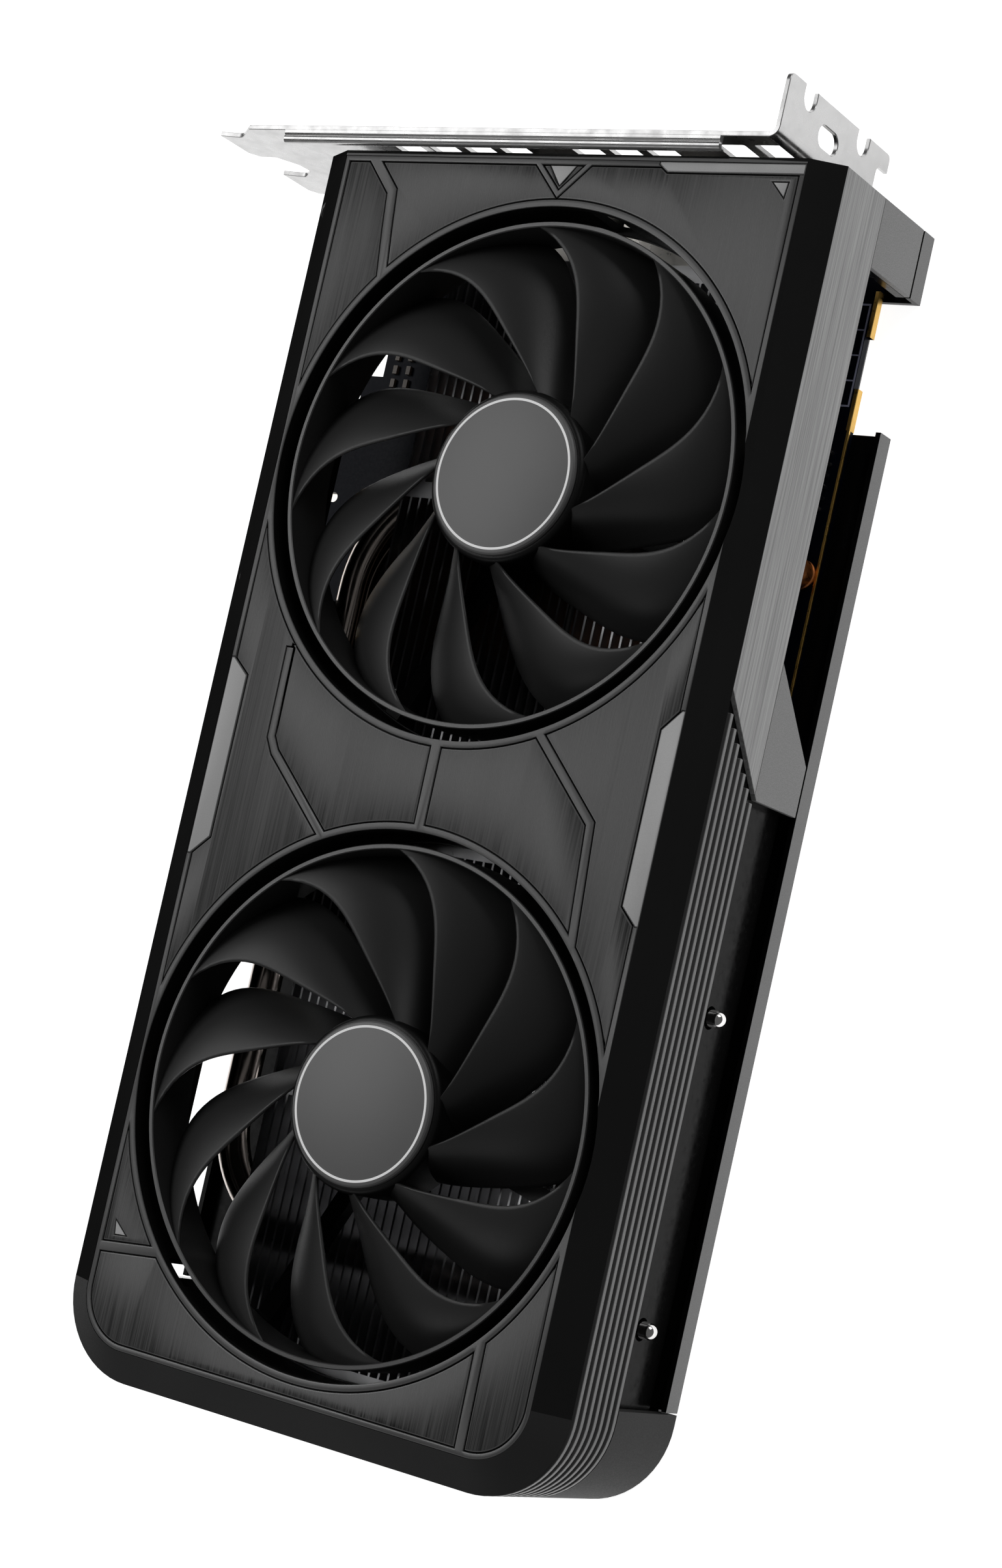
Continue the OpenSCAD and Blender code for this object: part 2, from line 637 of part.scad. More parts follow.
module far_fins() color("#8f9092") difference() {
    x0 = 13;
    x1 = 110;
    union() {
        fins(far_fin_y0) translate([x0, 7]) square([x1 - x0, fin_top - 7]);
        for (x = [x0, 60, x1 - 3], z = [7, fin_top - 0.5]) translate([x, far_fin_y0, z])
            cube([3, (fin_n - 1) * fin_pitch + fin_t, 0.5]);
    }
    for (x = [outer_end_x, inner_end_x]) translate([x, 80, pipe_z]) rotate([90, 0, 0])
        cylinder(r = pipe_r + pipe_clear, h = 90);
    bend(outer_end_x - outer_end_bend, outer_run_y + outer_end_bend, outer_end_bend, 270, 0.3);
    bend(inner_end_x - inner_end_bend, inner_run_y + inner_end_bend, inner_end_bend, 270, 0.3);
}

// Sprung screws that pull the cold plate onto the processor, from below
module cooler_screws() color("#c4c4c6") for (p = cooler_screw_xy)
    translate([die_x + p[0], die_y + p[1], 0]) {
    translate([0, 0, 0.1]) cylinder(r = 2.6, h = 0.9);
    translate([0, 0, 0.9]) cylinder(r = 1.05, h = 8);
}

module cooler_brace() color("#9a9a9c") translate([die_x, die_y, back_t + 0.05]) difference() {
    linear_extrude(pcb_top - pcb_t - back_t - 0.1) {
        bar([-brace_x, -brace_y], [brace_x, brace_y], 6);
        bar([-brace_x, brace_y], [brace_x, -brace_y], 6);
    }
    for (p = cooler_screw_xy) translate([p[0], p[1], -1]) cylinder(r = 1.2, h = 5);
}

// ---------- fans ----------

// Fixed frame: motor seat, struts and the outer hoop
module fan_frame(x) translate([x, fan_y, 0]) {
    difference() {
        union() {
            translate([0, 0, frame_z]) cylinder(r = 14, h = 1.6);
            translate([0, 0, frame_z]) cylinder(r = 4.2, h = 3);
            for (a = strut_angles) rotate(a) translate([13, -1.6, frame_z])
                cube([duct_r - 14.2, 3.2, strut_h]);
            for (a = strut_angles) rotate(a) translate([duct_r - 4.2, -1.6, frame_z])
                cube([3.2, 3.2, hoop_z + 0.4 - frame_z]);
        }
        translate([0, 0, frame_z - 1]) cylinder(r = sleeve_r, h = 20);
        translate([cable_x, 0, frame_z - 1]) cylinder(r = 0.9, h = 6);
        translate([-cable_x, 0, frame_z - 1]) cylinder(r = 0.9, h = 6);
    }
    translate([0, 0, hoop_z]) difference() {
        cylinder(r = duct_r, h = ring_top - duct_h - hoop_z);
        translate([0, 0, -1]) cylinder(r = duct_r - 1.4, h = 10);
    }
}

module fan_sleeve(x) translate([x, fan_y, frame_z + 0.4]) difference() {
    cylinder(r = sleeve_r, h = sleeve_h);
    translate([0, 0, 1]) cylinder(r = shaft_r + shaft_clear, h = 20);
}

module fan_driver_board(x) translate([x, fan_y, frame_z + 1.7]) difference() {
    cylinder(r = 12.6, h = 0.8);
    translate([0, 0, -1]) cylinder(r = 4.4, h = 3);
}

// Laminated core with four wound poles
module fan_stator(x) translate([x, fan_y, frame_z + 3.2]) difference() {
    union() {
        cylinder(r = 5.6, h = 6);
        for (a = [0 : 90 : 270]) rotate(a) {
            translate([4, -1.5, 0]) cube([6.6, 3, 6]);
            translate([6, -2.6, 0.8]) cube([3.2, 5.2, 4.4]);
            intersection() {
                cylinder(r = 11.6, h = 6);
                translate([9.8, -5, 0]) cube([3, 10, 6]);
            }
        }
    }
    translate([0, 0, -1]) cylinder(r = sleeve_r, h = 10);
}

// Three leads laid as one flat cord from the motor to the socket on the board
module fan_cable(x, side, y) {
    z = fin_top + 0.8;
    x0 = x + side * cable_x;
    path = [[x0, fan_y, frame_z + 1.65], [x0, fan_y, z], [x0 + side * 6, y, z], [cable_down_x, y, z],
        [cable_down_x, y, pcb_top + 2]];
    for (i = [1 : 4]) {
        v = path[i] - path[i - 1];
        translate(path[i - 1]) rotate([0, acos(v[2] / norm(v)), atan2(v[1], v[0])])
            cylinder(r = lead_r, h = norm(v));
    }
    for (i = [1 : 3]) translate(path[i]) sphere(lead_r);
}

// Flat swept blade, drawn from the hub to the ring and tilted about its middle
module blade() intersection() {
    difference() {
        translate([0, 0, ring_top - ring_h + 0.6]) cylinder(r = ring_r - 0.3, h = ring_h - 1.2);
        cylinder(r = hub_r - 0.6, h = card_h);
    }
    translate([0, 0, ring_top - ring_h / 2]) rotate([blade_tilt, 0, 0]) linear_extrude(1.1, center = true)
        intersection() {
            translate([24, 26]) circle(34);
            difference() {
                translate([10, -12]) square([40, 40]);
                translate([22, 38]) circle(34);
            }
        }
}

module fan_rotor(x) translate([x, fan_y, 0]) {
    difference() {
        union() {
            translate([0, 0, hub_bottom]) cylinder(r = hub_r, h = hub_top - hub_bottom - 1);
            translate([0, 0, hub_top - 1]) cylinder(r1 = hub_r, r2 = hub_r - 0.9, h = 1);
            translate([0, 0, ring_top - ring_h]) difference() {
                cylinder(r = ring_r, h = ring_h);
                translate([0, 0, -1]) cylinder(r = ring_r - ring_t, h = ring_h + 2);
            }
            for (i = [0 : blade_n - 1]) rotate(i * 360 / blade_n) blade();
        }
        translate([0, 0, hub_bottom - 1]) cylinder(r = magnet_r, h = hub_top - hub_bottom - 0.6);
    }
    translate([0, 0, boss_z]) difference() {
        cylinder(r = 3.6, h = hub_top - 1 - boss_z);
        translate([0, 0, -1]) cylinder(r = shaft_r, h = shaft_top - boss_z + 1);
    }
}

module fan_shaft(x) translate([x, fan_y, frame_z + 1.6]) cylinder(r = shaft_r, h = shaft_top - frame_z - 1.6);

module fan_magnet(x) translate([x, fan_y, hub_bottom + 0.3]) difference() {
    cylinder(r = magnet_r, h = 8);
    translate([0, 0, -1]) cylinder(r = magnet_r - 1.1, h = 10);
}

module fan_cap(x) translate([x, fan_y, hub_top]) cylinder(r = hub_r - 1, h = cap_t);

module fan_1_frame() color("#1c1c1e") fan_frame(fan_1_x);
module fan_2_frame() color("#1c1c1e") fan_frame(fan_2_x);
module fan_1_sleeve() color("#b08d57") fan_sleeve(fan_1_x);
module fan_2_sleeve() color("#b08d57") fan_sleeve(fan_2_x);
module fan_1_stator() color("#9c5b32") fan_stator(fan_1_x);
module fan_2_stator() color("#9c5b32") fan_stator(fan_2_x);
module fan_1_driver_board() color("#1f4a33") fan_driver_board(fan_1_x);
module fan_2_driver_board() color("#1f4a33") fan_driver_board(fan_2_x);
module fan_1_cable() color("#202020") fan_cable(fan_1_x, 1, 22.5);
module fan_2_cable() color("#202020") fan_cable(fan_2_x, -1, 27.5);
module fan_1_rotor() color("#1e1e20") fan_rotor(fan_1_x);
module fan_2_rotor() color("#1e1e20") fan_rotor(fan_2_x);
module fan_1_shaft() color("#c8c8ca") fan_shaft(fan_1_x);
module fan_2_shaft() color("#c8c8ca") fan_shaft(fan_2_x);
module fan_1_magnet() color("#444448") fan_magnet(fan_1_x);
module fan_2_magnet() color("#444448") fan_magnet(fan_2_x);
module fan_1_cap() color("#55555a") fan_cap(fan_1_x);
module fan_2_cap() color("#55555a") fan_cap(fan_2_x);

shroud();
face_frame();
face_panels();
side_band();
side_arms();
side_ribs();
io_bracket();
bracket_screws();
backplate();
backplate_screws();
shroud_screws();
circuit_board();
edge_contacts();
gpu_package();
gpu_die();
memory_chips();
power_chokes();
power_stages();
round_capacitors();
small_parts();
pin_header();
fan_socket();
hdmi_port();
display_ports();
thermal_pads();
cold_plate();
heat_pipe_outer();
heat_pipe_inner();
main_fins();
far_fins();
cooler_screws();
cooler_brace();
fan_1_frame();
fan_1_sleeve();
fan_1_stator();
fan_1_driver_board();
fan_1_cable();
fan_1_rotor();
fan_1_shaft();
fan_1_magnet();
fan_1_cap();
fan_2_frame();
fan_2_sleeve();
fan_2_stator();
fan_2_driver_board();
fan_2_cable();
fan_2_rotor();
fan_2_shaft();
fan_2_magnet();
fan_2_cap();
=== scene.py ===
import json
import math

import bmesh
import bpy
from mathutils import Matrix, Vector
from mathutils.geometry import delaunay_2d_cdt, tessellate_polygon


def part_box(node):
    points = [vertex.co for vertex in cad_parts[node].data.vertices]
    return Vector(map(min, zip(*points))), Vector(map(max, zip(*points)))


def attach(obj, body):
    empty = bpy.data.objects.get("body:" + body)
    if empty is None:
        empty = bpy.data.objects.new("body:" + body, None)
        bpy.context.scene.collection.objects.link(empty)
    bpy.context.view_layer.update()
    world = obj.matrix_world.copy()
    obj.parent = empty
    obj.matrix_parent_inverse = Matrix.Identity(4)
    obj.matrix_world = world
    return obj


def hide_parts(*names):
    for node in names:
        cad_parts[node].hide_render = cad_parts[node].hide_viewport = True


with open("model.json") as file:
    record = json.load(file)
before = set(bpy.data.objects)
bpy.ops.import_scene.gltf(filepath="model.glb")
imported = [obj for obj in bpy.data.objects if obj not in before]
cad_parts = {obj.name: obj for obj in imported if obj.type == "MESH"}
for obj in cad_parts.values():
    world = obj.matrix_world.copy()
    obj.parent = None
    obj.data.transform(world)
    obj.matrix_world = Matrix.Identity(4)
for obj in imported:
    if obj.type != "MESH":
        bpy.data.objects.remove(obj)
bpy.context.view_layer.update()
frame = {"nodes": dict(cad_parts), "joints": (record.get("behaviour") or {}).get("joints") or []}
nodes = frame["nodes"]
MM = 0.001
joints = {j["name"]: j for j in frame["joints"]}


def node_box(node):
    """Lowest and highest corner of a CAD node, in millimetres."""
    return [[v / MM for v in corner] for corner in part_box(node)]


def centre_of(fan):
    p = joints[fan + "_spin"]["pos_m"]
    return p[0] / MM, p[1] / MM


FANS = {"fan_1": centre_of("fan_1"), "fan_2": centre_of("fan_2")}


# ---------- materials ----------

class Nodes:
    """Small helper that builds one material's node tree."""

    def __init__(self, name):
        self.mat = bpy.data.materials.new(name)
        self.mat.use_nodes = True
        self.tree = self.mat.node_tree
        self.bsdf = self.tree.nodes["Principled BSDF"]
        self.coord = self.tree.nodes.new("ShaderNodeTexCoord").outputs["Object"]

    def add(self, kind, **values):
        n = self.tree.nodes.new(kind)
        for k, v in values.items():
            setattr(n, k, v)
        return n

    def link(self, a, b):
        self.tree.links.new(a, b)

    def noise(self, scale, detail=3.0, rough=0.55, stretch=(1, 1, 1)):
        m = self.add("ShaderNodeMapping")
        m.inputs["Scale"].default_value = stretch
        self.link(self.coord, m.inputs["Vector"])
        n = self.add("ShaderNodeTexNoise")
        n.inputs["Scale"].default_value = scale
        n.inputs["Detail"].default_value = detail
        n.inputs["Roughness"].default_value = rough
        self.link(m.outputs[0], n.inputs["Vector"])
        return n.outputs["Fac"]

    def ramp(self, fac, lo, hi, a=0.0, b=1.0):
        r = self.add("ShaderNodeMapRange")
        r.inputs["From Min"].default_value = lo
        r.inputs["From Max"].default_value = hi
        r.inputs["To Min"].default_value = a
        r.inputs["To Max"].default_value = b
        self.link(fac, r.inputs["Value"])
        return r.outputs[0]

    def tint(self, fac, dark, light):
        c = self.add("ShaderNodeValToRGB")
        c.color_ramp.elements[0].color = (*dark, 1)
        c.color_ramp.elements[1].color = (*light, 1)
        self.link(fac, c.inputs[0])
        self.link(c.outputs[0], self.bsdf.inputs["Base Color"])

    def vary(self, fac, base, share):
        """Colour that swings by the given share to either side of base."""
        self.tint(fac, [c * (1 - share) for c in base], [c * (1 + share) for c in base])

    def rough(self, fac):
        self.link(fac, self.bsdf.inputs["Roughness"])

    def bump(self, fac, strength, distance_mm):
        b = self.add("ShaderNodeBump")
        b.inputs["Strength"].default_value = strength
        b.inputs["Distance"].default_value = distance_mm * MM
        self.link(fac, b.inputs["Height"])
        self.link(b.outputs[0], self.bsdf.inputs["Normal"])

    def set(self, **values):
        """Sets the shader's own sockets, with _ for each space, and gives the material."""
        for k, v in values.items():
            self.bsdf.inputs[k.replace("_", " ")].default_value = v
        return self.mat


def grey(v):
    return (v, v, v)


def plastic(name, base, rough, grain=900.0, bump=0.25, depth=0.02, spread=0.15, spec=0.5,
            cloud=0.12, speck=0.0):
    """Moulded plastic: fine surface grain, a slow change in tone and, with speck, a speckled tone."""
    n = Nodes(name)
    fine = n.noise(grain * 4, 2.0)
    slow = n.noise(28.0, 3.0)
    tone = n.ramp(slow, 0.3, 0.7)
    if speck:
        sparkle = n.add("ShaderNodeMix")
        sparkle.inputs[0].default_value = speck
        n.link(tone, sparkle.inputs[2])
        n.link(n.ramp(n.noise(grain * 5, 1.0), 0.35, 0.65), sparkle.inputs[3])
        tone = sparkle.outputs[0]
    n.vary(tone, base, cloud)
    n.rough(n.ramp(fine, 0.3, 0.7, rough * (1 - spread), min(1.0, rough * (1 + spread))))
    n.bump(fine, bump, depth)
    return n.set(Specular_IOR_Level=spec)


def brushed(name, base, rough, streak, bump=0.35, spec=0.5, fine_width=110.0, broad=0.0):
    """Finish brushed along X: long thin streaks in tone, roughness and height."""
    n = Nodes(name)
    long = n.noise(22.0, 5.0, 0.8, (1, fine_width, fine_width))
    wide = n.noise(17.6, 2.0, 0.5, (1, 14, 14))
    mix = n.add("ShaderNodeMath", operation="MULTIPLY_ADD")
    mix.inputs[1].default_value = broad
    n.link(wide, mix.inputs[0])
    n.link(long, mix.inputs[2])
    n.vary(n.ramp(mix.outputs[0], 0.36 + broad / 2, 0.64 + broad / 2), base, streak)
    n.rough(n.ramp(long, 0.35, 0.65, rough * 0.78, min(1.0, rough * 1.28)))
    n.bump(long, bump, 0.02)
    return n.set(Specular_IOR_Level=spec)


def metal(name, base, rough, grain=(1, 1, 1), scale=700.0, spread=0.35, bump=0.1, tone=0.1):
    """Bare or plated metal with faint grain and handling marks."""
    n = Nodes(name)
    fine = n.noise(scale, 4.0, 0.6, grain)
    slow = n.noise(45.0, 3.0)
    n.vary(n.ramp(slow, 0.3, 0.7), base, tone)
    n.rough(n.ramp(fine, 0.3, 0.7, rough * (1 - spread), rough * (1 + spread)))
    n.bump(fine, bump, 0.01)
    return n.set(Metallic=1.0)


M = {
    "gloss": plastic("gloss_black", grey(0.013), 0.07, grain=220, bump=0.02, depth=0.01,
                     spread=0.4, spec=0.3),
    "wall": plastic("dark_wall", grey(0.005), 0.2, grain=220, bump=0.04, depth=0.01,
                    spread=0.4, spec=0.06),
    # painted shade: the gloss black with its specular reflection taken out, for the housing's faces turned
    # towards -Y
    "slope": plastic("slope_black_painted_shade", grey(0.014), 0.3, grain=220, bump=0.04, depth=0.01,
                     spread=0.4, spec=0.0),
    "satin": plastic("face_satin", grey(0.1), 0.38, grain=1000, bump=0.18),
    "groove": plastic("groove_black", grey(0.004), 0.6, grain=700, bump=0.2, spec=0.15),
    "panel": brushed("brushed_dark", grey(0.058), 0.38, streak=0.9, fine_width=120.0, broad=0.05),
    "bevel": plastic("bevel_satin", grey(0.14), 0.3, grain=800, bump=0.1, spec=0.6),
    "field": plastic("field_satin", grey(0.6), 0.42, grain=1200, bump=0.2, cloud=0.07, speck=0.5),
    "band": brushed("brushed_light", grey(0.29), 0.38, streak=0.4, bump=0.2, spec=0.35, fine_width=80.0),
    "arm": plastic("arm_satin", grey(0.2), 0.5, grain=1100, bump=0.5, depth=0.03, spec=0.4,
                   cloud=0.2, speck=0.85),
    "rib": plastic("rib_satin", grey(0.15), 0.36, grain=900, bump=0.15, spec=0.4),
    "end": plastic("end_matte", grey(0.042), 0.55, grain=900, bump=0.2, spec=0.1),
    "steel": metal("nickel_steel", (0.5, 0.498, 0.497), 0.3, scale=350.0, spread=0.3, bump=0.03,
                   tone=0.05),
    "screw": metal("plated_screw", (0.6, 0.59, 0.58), 0.28),
    "screw_black": metal("black_screw", (0.07, 0.07, 0.075), 0.4),
    "backplate": plastic("backplate_satin", grey(0.16), 0.45, grain=1100, bump=0.4, depth=0.03,
                         spec=0.4, cloud=0.15, speck=0.8),
    "board": plastic("solder_mask", (0.0025, 0.0035, 0.008), 0.35, grain=600, bump=0.1, spec=0.05,
                     cloud=0.25),
    "gold": metal("gold_plate", (0.8, 0.5, 0.13), 0.35, scale=900.0),
    "green": plastic("laminate", (0.02, 0.06, 0.04), 0.4),
    "die": metal("silicon", (0.3, 0.32, 0.36), 0.1, scale=300.0, spread=0.2, bump=0.0),
    "chip": plastic("chip_epoxy", grey(0.014), 0.5, grain=900),
    "choke": plastic("choke_powder", grey(0.05), 0.6, grain=600, bump=0.5, depth=0.04),
    "orange": metal("capacitor_top", (0.75, 0.27, 0.09), 0.35, scale=600.0),
    "tan": plastic("ceramic_tan", (0.07, 0.05, 0.035), 0.45),
    "ivory": plastic("nylon_ivory", (0.6, 0.58, 0.52), 0.45),
    "port": metal("port_shell", (0.85, 0.82, 0.77), 0.35, scale=500.0),
    "pad": plastic("thermal_pad", (0.12, 0.15, 0.18), 0.8),
    "copper": metal("cold_copper", (0.4, 0.2, 0.12), 0.4, grain=(1, 30, 30), scale=60.0),
    "pipe": metal("pipe_nickel", (0.52, 0.46, 0.42), 0.16, scale=420.0, spread=0.5, bump=0.25, tone=0.2),
    "tip": metal("pipe_tip", (0.85, 0.84, 0.83), 0.12, scale=420.0, spread=0.5, bump=0.3),
    "fin": metal("fin_aluminium", (0.5, 0.5, 0.51), 0.38, grain=(1, 1, 20), scale=150.0),
    "fan": plastic("fan_black", grey(0.023), 0.42, grain=1500, bump=0.3, depth=0.015, spec=0.45,
                   cloud=0.08),
    "ring": plastic("fan_ring", grey(0.07), 0.32, grain=900, bump=0.12, spec=0.55),
    "hub": plastic("hub_black", grey(0.006), 0.4, grain=1200, bump=0.15, spec=0.25),
    "cap": plastic("cap_grey", grey(0.17), 0.4, grain=1800, depth=0.012, cloud=0.04),
    "white": plastic("white_print_painted_glow", grey(0.82), 0.4, grain=900, bump=0.05, cloud=0.02),
    "print": plastic("board_print", (0.36, 0.37, 0.5), 0.5, grain=900, bump=0.05, spec=0.3),
    "frame": plastic("frame_black", grey(0.008), 0.5, grain=900, bump=0.3, spec=0.3),
    "bronze": metal("bearing_bronze", (0.55, 0.38, 0.18), 0.4),
    "winding": metal("winding_copper", (0.6, 0.26, 0.11), 0.35, grain=(1, 1, 14), scale=160.0, bump=0.5),
    "magnet": plastic("magnet_dark", grey(0.03), 0.55),
    "cable": plastic("cable_black", grey(0.012), 0.45, grain=500),
}

# the thin rings on the hub caps glow faintly, a painted light that keeps them bright where the lamps are
# low
white_print_painted_glow = M["white"].node_tree.nodes["Principled BSDF"].inputs
white_print_painted_glow["Emission Color"].default_value = (1, 1, 1, 1)
white_print_painted_glow["Emission Strength"].default_value = 0.25

LOOK = {
    "shroud": "gloss", "face_frame": "satin", "face_panels": "panel", "shroud_screws": "screw_black",
    "side_band": "band", "side_arms": "arm", "side_ribs": "rib",
    "io_bracket": "steel", "bracket_screws": "screw",
    "backplate": "backplate", "backplate_screws": "screw_black",
    "circuit_board": "board", "edge_contacts": "gold", "gpu_package": "green", "gpu_die": "die",
    "memory_chips": "chip", "power_chokes": "choke", "power_stages": "chip",
    "round_capacitors": "orange", "small_parts": "tan", "pin_header": "screw", "fan_socket": "ivory",
    "hdmi_port": "port", "display_ports": "port", "thermal_pads": "pad",
    "cold_plate": "copper", "heat_pipe_outer": "pipe", "heat_pipe_inner": "pipe",
    "main_fins": "fin", "far_fins": "fin", "cooler_screws": "screw", "cooler_brace": "screw_black",
}
FAN_LOOK = {
    "frame": "frame", "sleeve": "bronze", "stator": "winding", "driver_board": "green", "cable": "cable",
    "rotor": "fan", "shaft": "screw", "magnet": "magnet", "cap": "cap",
}
for fan in FANS:
    LOOK.update({fan + "_" + part: look for part, look in FAN_LOOK.items()})
for name, obj in nodes.items():
    obj.data.materials.clear()
    obj.data.materials.append(M[LOOK[name]])


# ---------- mesh helpers ----------

def make(name, verts, faces, mats, face_mats=None, body="card", smooth=30.0):
    """Mesh object from points in millimetres. Edges sharper than smooth degrees stay crisp."""
    mesh = bpy.data.meshes.new(name)
    mesh.from_pydata([(x * MM, y * MM, z * MM) for x, y, z in verts], [], faces)
    for m in mats:
        mesh.materials.append(M[m])
    bm = bmesh.new()
    bm.from_mesh(mesh)
    if face_mats:
        bm.faces.ensure_lookup_table()
        for i, k in enumerate(face_mats):
            bm.faces[i].material_index = k
    bmesh.ops.remove_doubles(bm, verts=bm.verts, dist=1e-7)
    bmesh.ops.recalc_face_normals(bm, faces=bm.faces)
    bm.to_mesh(mesh)
    bm.free()
    obj = bpy.data.objects.new(name, mesh)
    bpy.context.scene.collection.objects.link(obj)
    crisp(obj, smooth)
    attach(obj, body)
    return obj


def crisp(obj, angle):
    obj.data.shade_smooth()
    obj.data.set_sharp_from_angle(angle=math.radians(angle))


def apply_modifiers(obj):
    depsgraph = bpy.context.evaluated_depsgraph_get()
    mesh = bpy.data.meshes.new_from_object(obj.evaluated_get(depsgraph))
    obj.modifiers.clear()
    obj.data = mesh


EASED_FROM = math.radians(32)


def eased(name, node, look, width):
    """Copy of a CAD node with its edges sharper than EASED_FROM rounded, standing for that node."""
    mesh = nodes[node].data.copy()
    mesh.name = name
    obj = bpy.data.objects.new(name, mesh)
    bpy.context.scene.collection.objects.link(obj)
    bm = bmesh.new()
    bm.from_mesh(mesh)
    bmesh.ops.remove_doubles(bm, verts=bm.verts, dist=2e-6)
    bmesh.ops.dissolve_limit(bm, angle_limit=math.radians(1.0), verts=bm.verts, edges=bm.edges)
    bm.to_mesh(mesh)
    bm.free()
    for attribute in [a.name for a in mesh.attributes if a.name == "custom_normal"]:
        mesh.attributes.remove(mesh.attributes[attribute])
    mesh.materials.clear()
    mesh.materials.append(M[look])
    mesh.shade_smooth()
    b = obj.modifiers.new("ease", "BEVEL")
    b.harden_normals = True
    b.width = width * MM
    b.segments = 2
    b.limit_method = "ANGLE"
    b.angle_limit = EASED_FROM
    b.miter_outer = "MITER_ARC"
    apply_modifiers(obj)
    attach(obj, "card")
    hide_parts(node)
    return obj


# ---------- plane figures for the face ----------

def arc(cx, cy, r, a0, a1, n):
    return [(cx + r * math.cos(math.radians(a0 + (a1 - a0) * i / n)),
             cy + r * math.sin(math.radians(a0 + (a1 - a0) * i / n))) for i in range(n + 1)]


def circle(cx, cy, r, n=180):
    return arc(cx, cy, r, 0, 360, n)[:-1]


# corners of the housing, and the height of the face
(X0, Y0, _), (X1, Y1, _) = node_box("shroud")
TOP = node_box("face_frame")[1][2]
SLOPE_W, CORNER = 5.7, 16.0
NEAR_RIM = 0.9  # the face stops this far from the housing's end at the bracket


def face_outline(d):
    """Outline of the face, d inside the slope round it."""
    e = SLOPE_W + d
    r = CORNER - e
    x0, x1, y0, y1 = X0 + NEAR_RIM + d, X1 - e, Y0 + e, Y1 - e
    return [(x0, y0)] + arc(x1 - r, y0 + r, r, -90, 0, 20) + arc(x1 - r, y1 - r, r, 0, 90, 20) + [(x0, y1)]


def chain(points, w):
    """Outline of a bar of width w that follows points, with mitred corners and square ends."""
    p = [Vector(q) for q in points]
    left, right = [], []
    for i, q in enumerate(p):
        a = (p[max(i, 1)] - p[max(i, 1) - 1]).normalized()
        b = (p[min(i + 1, len(p) - 1)] - p[min(i + 1, len(p) - 1) - 1]).normalized()
        na, nb = Vector((-a.y, a.x)), Vector((-b.y, b.x))
        m = (na + nb) / (1 + na.dot(nb))
        past = -a * w / 2 if i == 0 else b * w / 2 if i == len(p) - 1 else Vector((0, 0))
        left.append(tuple(q + m * w / 2 + past))
        right.append(tuple(q - m * w / 2 + past))
    return left + right[::-1]


def signed_area(loop):
    """Twice the loop's area, above zero if it runs anticlockwise."""
    return sum(loop[i - 1][0] * q[1] - q[0] * loop[i - 1][1] for i, q in enumerate(loop))


def anticlockwise(loop):
    return loop if signed_area(loop) > 0 else loop[::-1]


def inside(pt, poly):
    x, y = pt
    hit = False
    j = len(poly) - 1
    for i in range(len(poly)):
        xi, yi = poly[i]
        xj, yj = poly[j]
        if (yi > y) != (yj > y) and x < (xj - xi) * (y - yi) / (yj - yi) + xi:
            hit = not hit
        j = i
    return hit


def region(outlines, keep):
    """Closed loops, in order, round each connected part of the plane where keep(point) holds."""
    verts, edges = [], []
    for o in outlines:
        s = len(verts)
        verts += [Vector(q) for q in o]
        edges += [(s + i, s + (i + 1) % len(o)) for i in range(len(o))]
    v, _, f, _, _, _ = delaunay_2d_cdt(verts, edges, [], 0, 1e-5)
    kept = [t for t in f if keep(tuple(sum((v[i] for i in t), Vector((0, 0))) / len(t)))]
    owner = {}
    for n, t in enumerate(kept):
        for i in range(len(t)):
            owner[(t[i], t[(i + 1) % len(t)])] = n
    parent = list(range(len(kept)))

    def find(a):
        while parent[a] != a:
            parent[a] = parent[parent[a]]
            a = parent[a]
        return a

    for (a, b), n in owner.items():
        if (b, a) in owner:
            parent[find(n)] = find(owner[(b, a)])
    groups = {}
    for (a, b), n in owner.items():
        if (b, a) not in owner:
            groups.setdefault(find(n), {})[a] = b
    result = []
    for step in groups.values():
        loops = []
        while step:
            start, b = next(iter(step.items()))
            loop = [start]
            del step[start]
            while b != start:
                loop.append(b)
                b = step.pop(b)
            loops.append(straightened([tuple(v[i]) for i in loop]))
        result.append(loops)
    return result


def straightened(loop):
    """Drops points that lie on a straight line or on top of the one before."""
    out = []
    n = len(loop)
    for i in range(n):
        a, b, c = Vector(loop[i - 1]), Vector(loop[i]), Vector(loop[(i + 1) % n])
        if (b - a).length < 0.004:
            continue
        if abs((b - a).normalized().cross((c - b).normalized())) > 1e-4:
            out.append(loop[i])
    return out


def inset(loop, d):
    """The loop moved towards its left by d, point by point."""
    out = []
    n = len(loop)
    for i in range(n):
        a, b, c = Vector(loop[i - 1]), Vector(loop[i]), Vector(loop[(i + 1) % n])
        u, w = (b - a).normalized(), (c - b).normalized()
        na, nb = Vector((-u.y, u.x)), Vector((-w.y, w.x))
        k = max(1 + na.dot(nb), 0.35)
        out.append(tuple(b + (na + nb) / k * d))
    return out


def level(x, y):
    return 0.0


